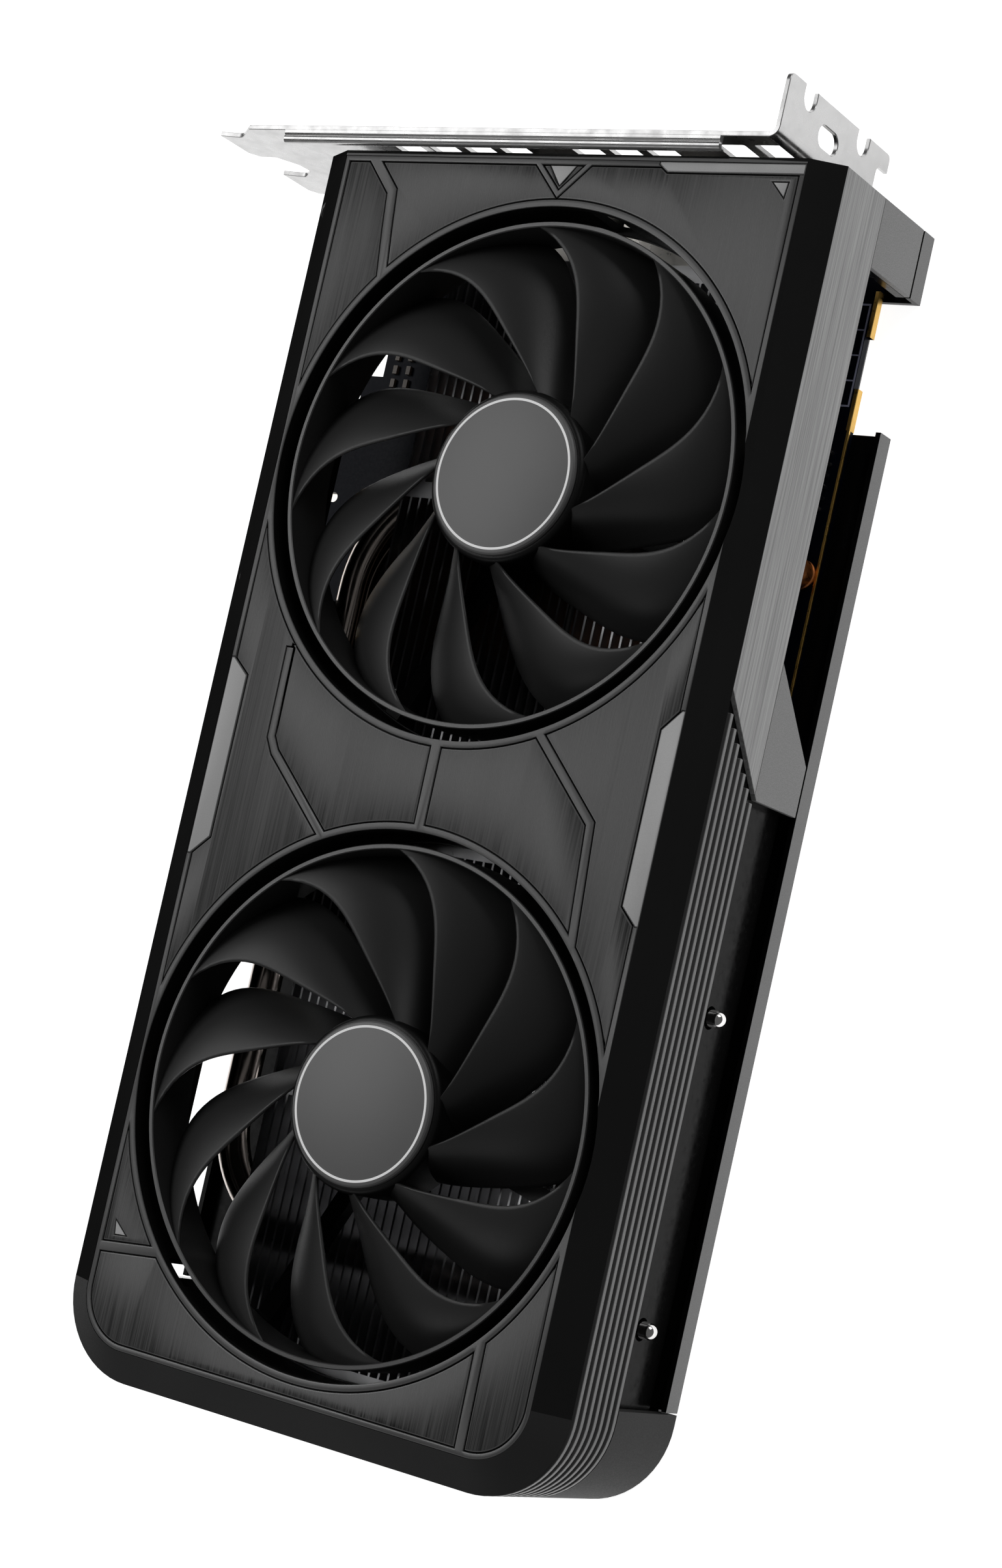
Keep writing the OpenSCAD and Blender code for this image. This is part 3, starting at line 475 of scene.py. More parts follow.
def plates(name, parts, z0, z1, ease, mats, lift=level):
    """Solid plates with an eased upper edge, each part an outline and its holes.

    mats are those of the top, the eased edge and the sides. lift(x, y) is added to the height.
    """
    verts, faces, kinds = [], [], []
    for loops in parts:
        rings = []
        for loop in loops:
            n = len(loop)
            top = inset(loop, ease)
            mid = inset(loop, ease * 0.3)
            s = len(verts)
            verts += [(x, y, z0) for x, y in loop]
            verts += [(x, y, z1 - ease + lift(x, y)) for x, y in loop]
            verts += [(x, y, z1 - ease * 0.3 + lift(x, y)) for x, y in mid]
            verts += [(x, y, z1 + lift(x, y)) for x, y in top]
            for row, kind in ((0, 2), (1, 1), (2, 1)):
                for i in range(n):
                    a, b = s + row * n + i, s + row * n + (i + 1) % n
                    faces.append((a, b, b + n, a + n))
                    kinds.append(kind)
            rings.append((s, n, top, loop))
        for which, base in ((2, 3), (3, 0)):
            polys = [[Vector((x, y, 0)) for x, y in r[which]] for r in rings]
            index = [r[0] + base * r[1] + i for r in rings for i in range(r[1])]
            for t in tessellate_polygon(polys):
                faces.append(tuple(index[i] for i in t))
                kinds.append(0 if base == 3 else 2)
    return make(name, verts, faces, mats, kinds, smooth=25)


# ---------- face: frame, ridges, fields and brushed panels ----------

LIP_R, PANEL_R = 47.0, 48.2  # trim ring round each fan opening
FLOOR_Z = TOP - 0.62  # bottom of the grooves between trim and panels
SUNK = 0.05  # trim and panels start this far below the grooves
CLEAR = 0.02  # keeps the trim just inside the slope
RIM_W = 1.0  # raised rim round the face
GROOVE_W = 0.22  # between a panel and the trim round it
# centre line and width of each ridge
RIDGES = [
    ([(-103.6, -28), (-97.6, -22.6), (-91, -21.9), (-78, -20.2)], 1.9),
    ([(-13.2, -21.9), (2.2, -21.7), (4.8, -20.2), (20, -4)], 1.5),
    ([(-8, 13.1), (20, 13.4)], 2.0),
    ([(-6, 32), (8.4, 46.4), (30, 48)], 1.5),
    ([(96.4, -36), (94.6, -20)], 1.7),
    ([(94, 47.6), (116, 48)], 1.7),
    ([(-103.6, 6.9), (-97.8, 12.5), (-103.6, 18.1)], 0.9),
]
# flat satin fields along the edges of the face
TRIM_FIELD = [(-12.2, 62), (-12.2, 58.8), (-8.6, 55.7), (20.8, 55.7), (23.8, 58.8), (23.8, 62)]
SLOT_FIELD = [(-11, -36), (-11, -33.6), (-8, -30), (21.5, -30), (25, -33.6), (25, -36)]
NEAR_FIELD = [(-106, 31.6), (-103.4, 31.6), (-102.1, 33.4), (-102.1, 62), (-106, 62)]
FIELDS = (TRIM_FIELD, SLOT_FIELD, NEAR_FIELD)
# small plain marks sunk into the panels
TRIANGLES = [
    [(-100.8, 53.9), (-100.8, 56.8), (-98.2, 56.5)],
    [(91.1, -31.3), (93.6, -30.9), (93.4, -28.4)],
    [(-102.9, 9.8), (-99.3, 12.5), (-102.9, 15.2)],
]


def grown(poly, d):
    """poly grown by d on every side, whichever way round it runs."""
    return inset(poly, -d if signed_area(poly) > 0 else d)


def ridge_outlines(d):
    return [chain(p, w + 2 * d) for p, w in RIDGES] + [grown(f, d) for f in FIELDS]


def fan_circles(r):
    return [circle(cx, cy, r) for cx, cy in FANS.values()]


def in_fan(q, r):
    return any(math.hypot(q[0] - cx, q[1] - cy) < r for cx, cy in FANS.values())


def face_parts(rim, hole_r, cuts=()):
    """The face inside rim, without the fan openings and the cuts."""
    outer = face_outline(rim)

    def keep(q):
        return inside(q, outer) and not in_fan(q, hole_r) and not any(inside(q, o) for o in cuts)

    return region([outer] + fan_circles(hole_r) + list(cuts), keep)


base = plates("face_base", face_parts(CLEAR, LIP_R + 0.05), TOP - 1.38, FLOOR_Z, CLEAR, ["groove"] * 3)

trim_edge, rim_edge = face_outline(CLEAR), face_outline(RIM_W)
ridges = ridge_outlines(0)


def keep_trim(q):
    if not inside(q, trim_edge) or in_fan(q, LIP_R):
        return False
    if any(inside(q, f) for f in FIELDS):
        return False
    return not inside(q, rim_edge) or in_fan(q, PANEL_R) or any(inside(q, o) for o in ridges)


trim_lines = [trim_edge, rim_edge] + fan_circles(LIP_R) + fan_circles(PANEL_R) + ridges
trim = plates("face_trim", region(trim_lines, keep_trim), FLOOR_Z - SUNK, TOP, 0.22,
              ["satin", "bevel", "groove"])


def falling(x, y):
    """The field on the trimmed side falls away a little towards its edge."""
    return -max(0.0, (y - 56.5) * 0.06)


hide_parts("face_frame")
for name, field, lift in (("trim_field", TRIM_FIELD, falling), ("slot_field", SLOT_FIELD, level),
                          ("near_field", NEAR_FIELD, level)):
    parts = region([trim_edge, field], lambda q, f=field: inside(q, f) and inside(q, trim_edge))
    plates(name, parts, FLOOR_Z - SUNK, TOP - 0.02, 0.25,
                              ["field", "bevel", "groove"], lift)

pits = [grown(t, 0.12) for t in TRIANGLES]
panels = plates("brushed_panels",
                face_parts(RIM_W + GROOVE_W, PANEL_R + GROOVE_W, ridge_outlines(GROOVE_W) + pits),
                FLOOR_Z - SUNK, TOP - 0.06, 0.2, ["panel", "bevel", "groove"])
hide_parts("face_panels")
marks = plates("corner_marks", [[anticlockwise(t)] for t in TRIANGLES], FLOOR_Z - SUNK, TOP - 0.08, 0.12,
               ["field", "bevel", "groove"])


# ---------- housing and its trim ----------

housing = eased("housing", "shroud", "gloss", 0.22)
eased("trim_band", "side_band", "band", 0.12)
eased("trim_arms", "side_arms", "arm", 0.12)
eased("trim_ribs", "side_ribs", "rib", 0.18)
back_cover = eased("back_cover", "backplate", "backplate", 0.15)

RECESS_Y = Y1 - 3.0  # recessed lower wall on the trimmed side
RECESS_TOP = 21.0
BLOCK_X = 100.8  # the solid block at the far end starts here
DUCT_R = 49.0  # outside of the duct wall round each fan
SLOPE_Z = TOP - 3.2  # the slope round the face is above this
HOUSING_LOOKS = ("gloss", "wall", "groove", "end", "slope")


def housing_look(x, y, z, normal):
    """Look of one face of the housing, by where it lies."""
    if z < RECESS_TOP and abs(y - RECESS_Y) < 2.9 and x < BLOCK_X - 0.1:
        return "wall"  # the recessed wall and its ledges
    in_duct = min(math.hypot(x - cx, y - cy) for cx, cy in FANS.values()) < DUCT_R
    if in_duct or z < 33 and Y0 + 2 < y < RECESS_Y - 2 and x < BLOCK_X + 10:
        return "groove"  # the ducts and the inside
    if x > 99 and z < SLOPE_Z and (x > BLOCK_X or y > 0) or x > 101 and 0.2 < normal.z < 0.97:
        return "end"  # the wall and the slope of the far end
    # faces turned towards -Y high on the housing take the copy without reflection, a painted shade
    return "slope" if normal.y < -0.3 and z > 30 else "gloss"


for look in HOUSING_LOOKS[1:]:
    housing.data.materials.append(M[look])
for p in housing.data.polygons:
    p.material_index = HOUSING_LOOKS.index(housing_look(*(p.center / MM), p.normal))
# inside, the back cover is dark
back_cover.data.materials.append(M["wall"])
for p in back_cover.data.polygons:
    if p.normal.z > 0.5 or p.center.y / MM < Y1 - 0.9 and p.center.z > 1 * MM:
        p.material_index = 1


# ---------- slot bracket ----------

(FLANGE_END, BR_Y0, BR_Z0), (_, BR_Y1, BR_Z1) = node_box("io_bracket")
SHEET = 0.86  # thickness
PLATE_X = -107.55  # inner face of the plate
BEND_R = 1.8
FLANGE_Z = 6.2  # the flange is cut away below this


def folded(parts, w0, w1, ease, place, verts, faces):
    """Sheet with eased edges on both sides. place puts (u, v, w) where it belongs."""
    for loops in parts:
        rings = []
        for loop in loops:
            n = len(loop)
            inner = inset(loop, ease)
            s = len(verts)
            for pts, w in ((inner, w0), (loop, w0 + ease), (loop, w1 - ease), (inner, w1)):
                verts += [place(u, v, w) for u, v in pts]
            for row in range(3):
                for i in range(n):
                    a, b = s + row * n + i, s + row * n + (i + 1) % n
                    faces.append((a, b, b + n, a + n))
            rings.append((s, n, inner))
        for row in (3, 0):
            polys = [[Vector((u, v, 0)) for u, v in r[2]] for r in rings]
            index = [r[0] + row * r[1] + i for r in rings for i in range(r[1])]
            for t in tessellate_polygon(polys):
                faces.append(tuple(index[i] for i in (t if row else t[::-1])))


def rounded(points, radii, n=5):
    """Loop with its corners rounded by the given radii."""
    out = []
    for i, q in enumerate(points):
        q = Vector(q)
        r = radii[i] if isinstance(radii, (list, tuple)) else radii
        u, w = (Vector(points[i - 1]) - q), (Vector(points[(i + 1) % len(points)]) - q)
        half = u.angle(w) / 2
        d = min(r / math.tan(half), 0.49 * u.length, 0.49 * w.length)
        a, b = q + u.normalized() * d, q + w.normalized() * d
        if r < 0.01:
            out.append(tuple(q))
            continue
        for k in range(n + 1):
            t = k / n
            out.append(tuple(a * (1 - t) ** 2 + q * 2 * t * (1 - t) + b * t * t))
    return out


def rectangle(u0, v0, u1, v1):
    return [(u0, v0), (u1, v0), (u1, v1), (u0, v1)]


def without(outline, cuts):
    """The parts of outline that no cut takes away."""
    return region([outline] + cuts, lambda q: inside(q, outline) and not any(inside(q, c) for c in cuts))


# the cuts that leave the stepped tongues at the plate's lower end
STEP_TOP = [(-70, 50), (-70, 37.2), (-65.4, 37.2), (-60.6, 36.4), (-58.8, 38), (-55.8, 40.8), (-55.8, 50)]
STEP_MID = [(-70, 28.4), (-65.3, 28.4), (-63.8, 26.4), (-60.2, 26.2), (-57.5, 22.4), (-57.1, 19.1),
            (-60.4, 16), (-65.4, 17), (-70, 17)]
STEP_LOW = [(-70, 0), (-70, 8.6), (-65.3, 8.6), (-63.8, 6.6), (-59.5, 6.4), (-56, 3), (-56, 0)]
plate_steps = [rounded(STEP_TOP, [0, 0, 0.5, 2.5, 0.8, 0.5, 0]),
               rounded(STEP_MID, [0, 0.5, 0.7, 0.7, 1.6, 1.6, 1.6, 0.5, 0]),
               rounded(STEP_LOW, [0, 0, 0.5, 0.7, 0.9, 0.9, 0])]

VENT_Y, VENT_Z, VENT_W, VENT_PITCH = -27.9, 17.0, 5.7, 7.58
VENT_TOP = BR_Z1 - 4.4
vent_starts = [VENT_Y + i * VENT_PITCH for i in range(12) if i not in (4, 8)]
vents = [rounded(rectangle(y, VENT_Z, y + VENT_W, VENT_TOP), 0.5) for y in vent_starts]
# middle, width and height of each socket's mouth
MOUTHS = [(-24, 17.2, 7.8), (-3, 17.2, 7.8), (18, 17.2, 7.8), (38, 15.8, 7.0)]
MOUTH_Z = 4.2
mouths = [rounded(rectangle(y - w / 2, MOUTH_Z, y + w / 2, MOUTH_Z + h), 0.8) for y, w, h in MOUTHS]
notch = rectangle(BR_Y1 - 4, -1, BR_Y1 + 4, FLANGE_Z)
plate_edge = rounded(rectangle(BR_Y0, BR_Z0, BR_Y1 - BEND_R, BR_Z1), [0.6, 0, 0, 0.6])
verts, faces = [], []
folded(without(plate_edge, plate_steps + vents + mouths + [notch]), PLATE_X - SHEET, PLATE_X, 0.1,
       lambda u, v, w: (w, u, v), verts, faces)

# flange with two open screw slots and a long locating hole
SCREW_Z, SCREW_PITCH, SCREW_R, SCREW_DEPTH = 33.0, 20.32, 2.21, 3.9
screw_x = FLANGE_END + SCREW_DEPTH - SCREW_R
screw_cuts = [[(FLANGE_END - 2, z - SCREW_R)] + arc(screw_x, z, SCREW_R, -90, 90, 16)
              + [(FLANGE_END - 2, z + SCREW_R)] for z in (SCREW_Z, SCREW_Z - SCREW_PITCH)]
HOLE_X, HOLE_R = -113, 1.9
long_hole = arc(HOLE_X, 26.2, HOLE_R, 0, 180, 14) + arc(HOLE_X, 22.8, HOLE_R, 180, 360, 14)
tail = rounded([(-115.5, 0), (-115.5, FLANGE_Z), (-100, FLANGE_Z), (-100, 0)], [0, 1.4, 0, 0])
flange_edge = rounded(rectangle(FLANGE_END, BR_Z0, PLATE_X - BEND_R, BR_Z1), [1.2, 0, 0, 1.6])
folded(without(flange_edge, screw_cuts + [long_hole, tail]), BR_Y1 - SHEET, BR_Y1, 0.12,
       lambda u, v, w: (u, w, v), verts, faces)

# bend between plate and flange
bend = arc(0, 0, BEND_R, -4, 94, 12) + arc(0, 0, BEND_R - SHEET, 94, -4, 12)
folded([[bend]], FLANGE_Z, BR_Z1, 0.1,
       lambda u, v, w: (PLATE_X - BEND_R + u, BR_Y1 - BEND_R + v, w), verts, faces)

# rolled lip along the plate's upper edge
LIP_Y0, LIP_Y1 = -47.6, 44.1
roll = [(-0.86, -2.0), (-0.86, -0.75), (-0.72, -0.3), (-0.4, -0.06), (0, 0), (0.45, -0.02), (0.7, -0.14),
        (0.86, -0.32), (1.02, -0.2), (1.3, -0.08), (1.65, -0.1), (2.0, -0.32), (2.24, -0.7), (2.3, -1.15),
        (2.2, -1.6), (1.95, -1.9), (1.7, -1.7), (1.72, -1.2), (1.5, -0.95), (0.2, -0.95), (0, -1.2),
        (0, -2.0)]
folded([[roll[::-1]]], LIP_Y0, LIP_Y1, 0.25, lambda u, v, w: (PLATE_X + u, w, BR_Z1 + v), verts, faces)

# feet that the bracket's screws hold to the board
FOOT_Z, FOOT_W, FOOT_L, EYE_R = 4.0, 6.0, 8.0, 1.6
for y in (-37.6, 51.0):
    foot = rounded(rectangle(PLATE_X - 0.2, y - FOOT_W / 2, PLATE_X + FOOT_L, y + FOOT_W / 2),
                   [0, 1.2, 1.2, 0])
    folded(without(foot, [circle(PLATE_X + 5, y, EYE_R, 28)]), FOOT_Z, FOOT_Z + SHEET, 0.1,
           lambda u, v, w: (u, v, w), verts, faces)
bracket = make("slot_bracket", verts, faces, ["steel"], smooth=32)
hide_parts("io_bracket")


# ---------- heat pipes ----------

def pipe_path(x0, b0, run_y, x1, b1, end_y):
    """Centre line: over the cold plate at x0, along the slot side at run_y, back across at x1.

    b0 and b1 are the radii of its two bends.
    """
    pts = [(x0, 38.0), (x0, run_y + b0)]
    pts += arc(x0 + b0, run_y + b0, b0, 180, 270, 20)[1:]
    pts += arc(x1 - b1, run_y + b1, b1, 270, 360, 20)
    return pts + [(x1, end_y)]


PIPE_R, PIPE_SIDES = 3.0, 28
# the end is drawn down to a thin round tip: distances back from it, with the radius there
TIP = [(8.55, 3.0), (5.15, 1.5), (1.6, 1.5), (1.1, 1.41), (0.7, 1.22), (0.35, 0.92), (0.12, 0.55),
       (0.02, 0.2)]


def tube(name, path, z):
    """Heat pipe along a flat path, with its tip at the path's end."""
    last, before = Vector(path[-1]), Vector(path[-2])
    along = (last - before).normalized()
    stations = [(Vector(q), PIPE_R) for q in path[:-1]] + [(last - along * d, r) for d, r in TIP]
    verts, faces = [], []
    k = PIPE_SIDES
    for i, (q, r) in enumerate(stations):
        a = stations[max(i - 1, 0)][0]
        b = stations[min(i + 1, len(stations) - 1)][0]
        t = (b - a).normalized()
        side = Vector((-t.y, t.x))
        for m in range(k):
            c, h = math.cos(2 * math.pi * m / k), math.sin(2 * math.pi * m / k)
            verts.append((q.x + side.x * r * c, q.y + side.y * r * c, z + r * h))
    for i in range(len(stations) - 1):
        for m in range(k):
            faces.append((i * k + m, i * k + (m + 1) % k, (i + 1) * k + (m + 1) % k, (i + 1) * k + m))
    faces.append(tuple(range(k - 1, -1, -1)))
    faces.append(tuple(range((len(stations) - 1) * k, len(stations) * k)))
    obj = make(name, verts, faces, ["pipe", "tip"], smooth=50)
    # what stands through the recessed wall is polished
    for p in obj.data.polygons:
        if p.center.y / MM > RECESS_Y - 1.6:
            p.material_index = 1
    return obj


# both pipes lie in one layer; each entry is pipe_path's x0, b0, run_y, x1 and b1
PIPES = {"outer": (-52.0, 22.0, -29.5, 87.5, 20.0), "inner": (-44.0, 15.0, -23.0, 34.6, 14.0)}
pipe_low, pipe_high = node_box("heat_pipe_outer")
PIPE_Z = (pipe_low[2] + pipe_high[2]) / 2
for tag, route in PIPES.items():
    end_y = node_box("heat_pipe_" + tag)[1][1]
    pipe = tube("heat_pipe_tube_" + tag, pipe_path(*route, end_y), PIPE_Z)
    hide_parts("heat_pipe_" + tag)


# ---------- fans ----------

HUB_R, HUB_IN, HUB_Z, HUB_TOP = 15.4, 13.2, 24.6, 35.72
RING_R, RING_T, RING_H, RING_TOP = 44.65, 0.9, 10.6, 37.0
CAP_R, CAP_Z, CAP_TOP = 14.25, 34.3, 36.7
LINE_R = 13.38  # outside of the thin ring on the cap
BLADES = 11
TURN = 360.0 / BLADES
PHASE = -154.98  # angle of the first blade's root
ROOT_R, TIP_R = 14.9, 44.2  # a blade runs a little into the hub and the ring
SPAN = (HUB_R, 43.8)


def lead(s):
    """Angle and height of a blade's upper edge at share s of the span."""
    return 96.2 * s - 125.5 * s * s + 74.6 * s ** 3, 35.2 + 2.6 * s - 1.2 * s * s


def trail(s):
    """Angle and height of a blade's lower edge."""
    return -25.0 + 87.1 * s - 99.5 * s * s + 53.8 * s ** 3, 25.6 + 9.0 * s - 6.6 * s * s


def blade_solid(cx, cy, start, verts, faces):
    """Swept and cambered blade with thin edges, thickest at the middle of its chord."""
    nr, nc = 22, 14
    grid = {}
    for side in (0, 1):
        for i in range(nr + 1):
            r = ROOT_R + (TIP_R - ROOT_R) * i / nr
            s = (r - SPAN[0]) / (SPAN[1] - SPAN[0])
            (a0, z0), (a1, z1) = lead(s), trail(s)
            for j in range(nc + 1):
                if side and j in (0, nc):
                    grid[side, i, j] = grid[0, i, j]
                    continue
                c = (1 - math.cos(math.pi * j / nc)) / 2
                th = math.radians(start + a0 + (a1 - a0) * c)
                z = z0 + (z1 - z0) * (0.62 * c + 0.38 * c * c)
                half = 0.16 + 0.62 * math.sin(math.pi * min(1.0, c * 1.02 + 0.02)) ** 0.8
                slope = math.atan2(z0 - z1, math.radians(a0 - a1) * r)
                lift = half if side == 0 else -half
                if j in (0, nc):
                    lift = 0.0
                th -= math.sin(slope) * lift / r
                grid[side, i, j] = len(verts)
                verts.append((cx + r * math.cos(th), cy + r * math.sin(th), z + math.cos(slope) * lift))
    for i in range(nr):
        for j in range(nc):
            faces.append((grid[0, i, j], grid[0, i, j + 1], grid[0, i + 1, j + 1], grid[0, i + 1, j]))
            faces.append((grid[1, i, j], grid[1, i + 1, j], grid[1, i + 1, j + 1], grid[1, i, j + 1]))
    for i in (0, nr):
        for j in range(nc):
            q = [grid[0, i, j], grid[1, i, j], grid[1, i, j + 1], grid[0, i, j + 1]]
            q = [k for n, k in enumerate(q) if k not in q[:n]]
            faces.append(tuple(q if i == 0 else q[::-1]))


def lathe(cx, cy, profile, n, verts, faces):
    """Ring solid from a closed profile of (radius, height) pairs."""
    s = len(verts)
    k = len(profile)
    for i in range(n):
        a = 2 * math.pi * i / n
        verts += [(cx + r * math.cos(a), cy + r * math.sin(a), z) for r, z in profile]
    for i in range(n):
        for j in range(k):
            a, b = s + i * k + j, s + i * k + (j + 1) % k
            c, d = s + ((i + 1) % n) * k + (j + 1) % k, s + ((i + 1) % n) * k + j
            faces.append((a, b, c, d))


def disc(cx, cy, profile, n, verts, faces):
    """Solid of revolution whose profile starts and ends on the axis."""
    inner = profile[1:-1]
    s = len(verts)
    k = len(inner)
    for i in range(n):
        a = 2 * math.pi * i / n
        verts += [(cx + r * math.cos(a), cy + r * math.sin(a), z) for r, z in inner]
    low, high = len(verts), len(verts) + 1
    verts += [(cx, cy, profile[0][1]), (cx, cy, profile[-1][1])]
    for i in range(n):
        i2 = (i + 1) % n
        for j in range(k - 1):
            faces.append((s + i * k + j, s + i2 * k + j, s + i2 * k + j + 1, s + i * k + j + 1))
        faces.append((low, s + i2 * k, s + i * k))
        faces.append((high, s + i * k + k - 1, s + i2 * k + k - 1))


def turned(name, shape, fan, profile, steps, looks, smooth):
    """Piece of a fan turned on the fan's axis. shape is lathe or disc."""
    verts, faces = [], []
    shape(*FANS[fan], profile, steps, verts, faces)
    return make(fan + name, verts, faces, looks, body=fan, smooth=smooth)


def build_fan(fan):
    verts, faces = [], []
    for i in range(BLADES):
        blade_solid(*FANS[fan], PHASE - i * TURN, verts, faces)
    blades = make(fan + "_blades", verts, faces, ["fan"], body=fan, smooth=55)
    inner, foot = RING_R - RING_T, RING_TOP - RING_H
    ring = turned("_ring", lathe, fan,
                  [(inner, foot), (RING_R, foot), (RING_R, RING_TOP - 0.2), (RING_R - 0.15, RING_TOP),
                   (inner + 0.15, RING_TOP), (inner, RING_TOP - 0.2)], 192, ["ring", "fan"], 25)
    for p in ring.data.polygons:
        if p.center.z < (RING_TOP - 0.4) * MM:
            p.material_index = 1
    hub = turned("_hub", lathe, fan,
                 [(HUB_IN, HUB_Z), (HUB_R, HUB_Z), (HUB_R, 34.5), (HUB_R - 0.08, 34.95),
                  (HUB_R - 0.3, 35.35), (HUB_R - 0.6, 35.62), (HUB_R - 0.95, HUB_TOP),
                  (HUB_IN, HUB_TOP)], 160, ["hub"], 35)
    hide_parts(fan + "_rotor")
    cap = turned("_cap_disc", disc, fan,
                 [(0, CAP_Z), (CAP_R - 0.15, CAP_Z), (CAP_R, 35.95), (CAP_R - 0.1, 36.3),
                  (CAP_R - 0.35, 36.55), (CAP_R - 0.73, 36.66), (0, CAP_TOP)], 160, ["cap"], 20)
    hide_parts(fan + "_cap")
    # thin ring on the cap: white print that also glows faintly, a painted light
    line = turned("_cap_line", lathe, fan,
                  [(LINE_R - 0.4, CAP_TOP - 0.1), (LINE_R, CAP_TOP - 0.1), (LINE_R, CAP_TOP + 0.015),
                   (LINE_R - 0.4, CAP_TOP + 0.018)], 192, ["white"], 25)


for fan in FANS:
    build_fan(fan)


# ---------- board details ----------

def boxes(name, items, look):
    """Chamfered blocks, each given by its lowest and highest corner."""
    verts, faces = [], []
    for (x0, y0, z0), (x1, y1, z1) in items:
        c = min(x1 - x0, y1 - y0, z1 - z0) * 0.12
        s = len(verts)
        for z, d in ((z0, 0), (z1 - c, 0), (z1, c)):
            verts += [(x0 + d, y0 + d, z), (x1 - d, y0 + d, z), (x1 - d, y1 - d, z), (x0 + d, y1 - d, z)]
        faces.append((s + 3, s + 2, s + 1, s))
        faces.append((s + 8, s + 9, s + 10, s + 11))
        for k in (0, 4):
            for i in range(4):
                j = (i + 1) % 4
                faces.append((s + k + i, s + k + j, s + k + j + 4, s + k + i + 4))
    return make(name, verts, faces, [look], smooth=20)


_, (BOARD_X1, BOARD_Y1, BOARD_TOP) = node_box("circuit_board")
CAN_R, CAN_TOP = 2.6, node_box("round_capacitors")[1][2]
CANS = [(-43.4, 56.3), (6.0, -36.0), (13.0, -36.0), (20.0, -36.0)]
verts, faces = [], []
for x, y in CANS:
    disc(x, y, [(0, BOARD_TOP), (CAN_R, BOARD_TOP), (CAN_R, BOARD_TOP + 0.5),
                (CAN_R - 0.22, BOARD_TOP + 0.8), (CAN_R, BOARD_TOP + 1.1), (CAN_R, CAN_TOP - 0.3),
                (CAN_R - 0.3, CAN_TOP), (CAN_R - 0.55, CAN_TOP - 0.1), (0, CAN_TOP - 0.12)],
         64, verts, faces)
cans = make("capacitor_cans", verts, faces, ["orange"], smooth=30)
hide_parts("round_capacitors")

STRIP_Z = 2.38
strips = boxes("gold_edge_strips",
               [((x0, BOARD_Y1 - 0.75, STRIP_Z), (x1, BOARD_Y1 + 0.06, BOARD_TOP + 0.05))
                for x0, x1 in ((-94.0, -85.8), (-76.6, -69.2))]
               + [((-69.3, BOARD_Y1 - 0.45, 3.6), (BOARD_X1 - 1, BOARD_Y1 + 0.05, BOARD_TOP + 0.03))],
               "gold")

# plain printed frame round the empty footprint, with lines between its cells
PRINT_Y0, PRINT_Y1 = 54.2, 58.0
cells = [-91.5 + 4.5 * i for i in range(5)]
lines = [chain([(cells[0], PRINT_Y0), (cells[0], PRINT_Y1), (cells[-1], PRINT_Y1), (cells[-1], PRINT_Y0)],
               0.32)]
lines += [chain([(x, PRINT_Y0), (x, PRINT_Y1 - 0.2)], 0.26) for x in cells[1:-1]]
plates("footprint_print", [[anticlockwise(q)] for q in lines], BOARD_TOP - 0.02, BOARD_TOP + 0.04, 0.01,
       ["print"] * 3)


# ---------- stage, light and camera ----------

LIT_POINT = Vector((0, 0, 0.03))


def area(name, loc, size, power):
    """Soft rectangular light, turned towards the card."""
    light = bpy.data.lights.new(name, "AREA")
    light.shape = "RECTANGLE"
    light.size, light.size_y = size
    light.energy = power
    obj = bpy.data.objects.new(name, light)
    bpy.context.scene.collection.objects.link(obj)
    obj.location = loc
    obj.rotation_euler = (LIT_POINT - Vector(loc)).to_track_quat("-Z", "Y").to_euler()


FLOOR_HALF = 6.0
floor_mesh = bpy.data.meshes.new("floor")
floor_mesh.from_pydata([(x, y, 0) for x, y in rectangle(-FLOOR_HALF, -FLOOR_HALF, FLOOR_HALF, FLOOR_HALF)],
                       [], [(0, 1, 2, 3)])
floor = bpy.data.objects.new("floor", floor_mesh)
bpy.context.scene.collection.objects.link(floor)
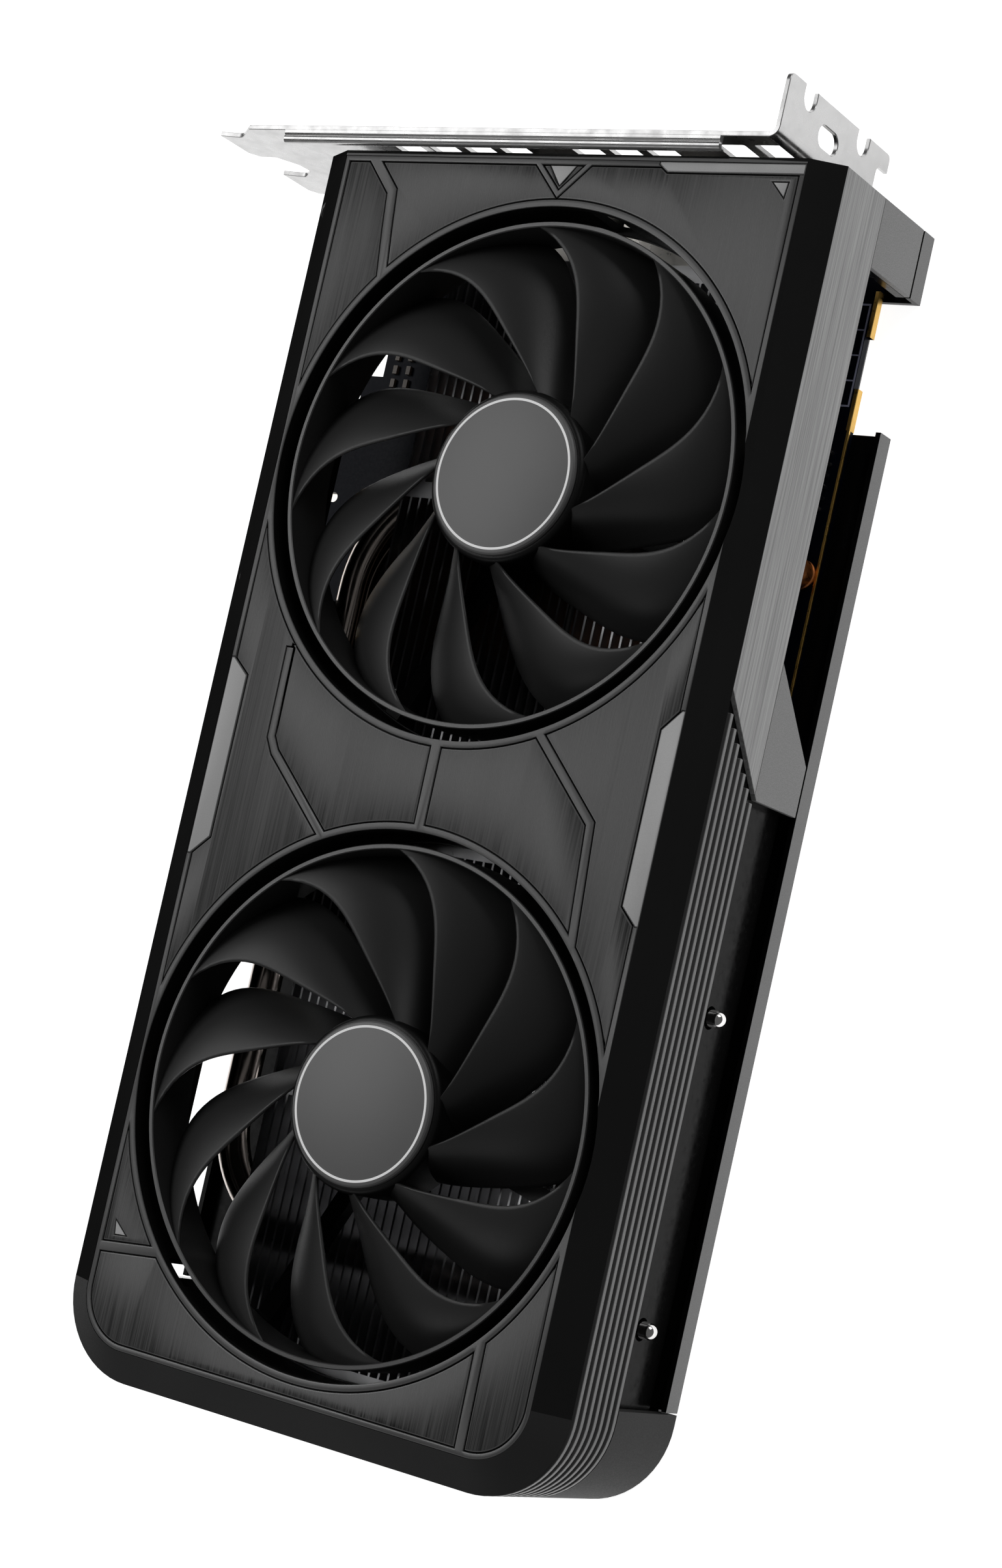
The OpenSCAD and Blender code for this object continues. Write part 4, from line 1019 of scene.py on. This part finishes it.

# the floor glows in a painted pool of light: bright under the card, fading with distance
POOL_TURN = math.radians(-17.2)
POOL_SHIFT = 0.025
POOL_FADES = ((0.21, 0.34), (0.135, 0.215))  # where the fade starts and ends, along each way of the pool
surface = Nodes("pale_floor")
surface.tint(surface.ramp(surface.noise(9.0, 2.0), 0.3, 0.7), grey(0.86), grey(0.88))
surface.set(Roughness=0.9, Specular_IOR_Level=0.1)
surface.bsdf.inputs["Emission Color"].default_value = (1, 1, 1, 1)
place = surface.add("ShaderNodeMapping")
place.inputs["Rotation"].default_value = (0, 0, POOL_TURN)
place.inputs["Location"].default_value = (POOL_SHIFT, 0, 0)
surface.link(surface.coord, place.inputs["Vector"])
split = surface.add("ShaderNodeSeparateXYZ")
surface.link(place.outputs[0], split.inputs[0])
painted_light_pool = surface.add("ShaderNodeMath", operation="MULTIPLY")
for k, (near, away) in enumerate(POOL_FADES):
    reach = surface.add("ShaderNodeMath", operation="ABSOLUTE")
    surface.link(split.outputs[k], reach.inputs[0])
    fade = surface.add("ShaderNodeMapRange", interpolation_type="SMOOTHSTEP")
    for label, v in (("From Min", near), ("From Max", away), ("To Min", 1.0), ("To Max", 0.0)):
        fade.inputs[label].default_value = v
    surface.link(reach.outputs[0], fade.inputs["Value"])
    surface.link(fade.outputs[0], painted_light_pool.inputs[k])
# the floor's glow follows the painted pool of light
surface.link(surface.ramp(painted_light_pool.outputs[0], 0, 1, 0.12, 0.93), surface.bsdf.inputs["Emission Strength"])
floor_mesh.materials.append(surface.mat)

world = bpy.data.worlds.new("studio")
bpy.context.scene.world = world
world.use_nodes = True
world.node_tree.nodes["Background"].inputs["Color"].default_value = (0.09, 0.09, 0.09, 1)
world.node_tree.nodes["Background"].inputs["Strength"].default_value = 1.0

area("key", (-0.25, -0.75, 1.0), (0.9, 0.7), 4.6)
area("side", (-0.9, 0.6, 0.5), (0.6, 0.6), 2.2)
area("far", (0.9, -0.5, 0.45), (0.5, 0.5), 0.5)

cam_data = bpy.data.cameras.new("camera")
cam = bpy.data.objects.new("camera", cam_data)
bpy.context.scene.collection.objects.link(cam)
bpy.context.scene.camera = cam
cam_data.sensor_fit = "VERTICAL"
cam_data.sensor_height = 36.0
cam_data.lens = 71.84
cam_data.shift_x = 0.0766
cam_data.shift_y = 0.0729
cam_data.clip_start = 0.01
cam_data.clip_end = 50
# the camera stands over the trimmed side and the card runs down its view, bracket at the top
CAMERA_AT = (0.05495, 0.31375, 0.4729)
right = Vector((-0.2205, 0.8055, -0.5500))
backward = right.cross(Vector((-0.9739, -0.1511, 0.1691))).normalized()
up = backward.cross(right).normalized()
cam.matrix_world = Matrix.Translation(CAMERA_AT) @ Matrix(
    (right.normalized(), up, backward)).transposed().to_4x4()

bpy.context.scene.view_settings.view_transform = "Standard"

bpy.context.view_layer.update()
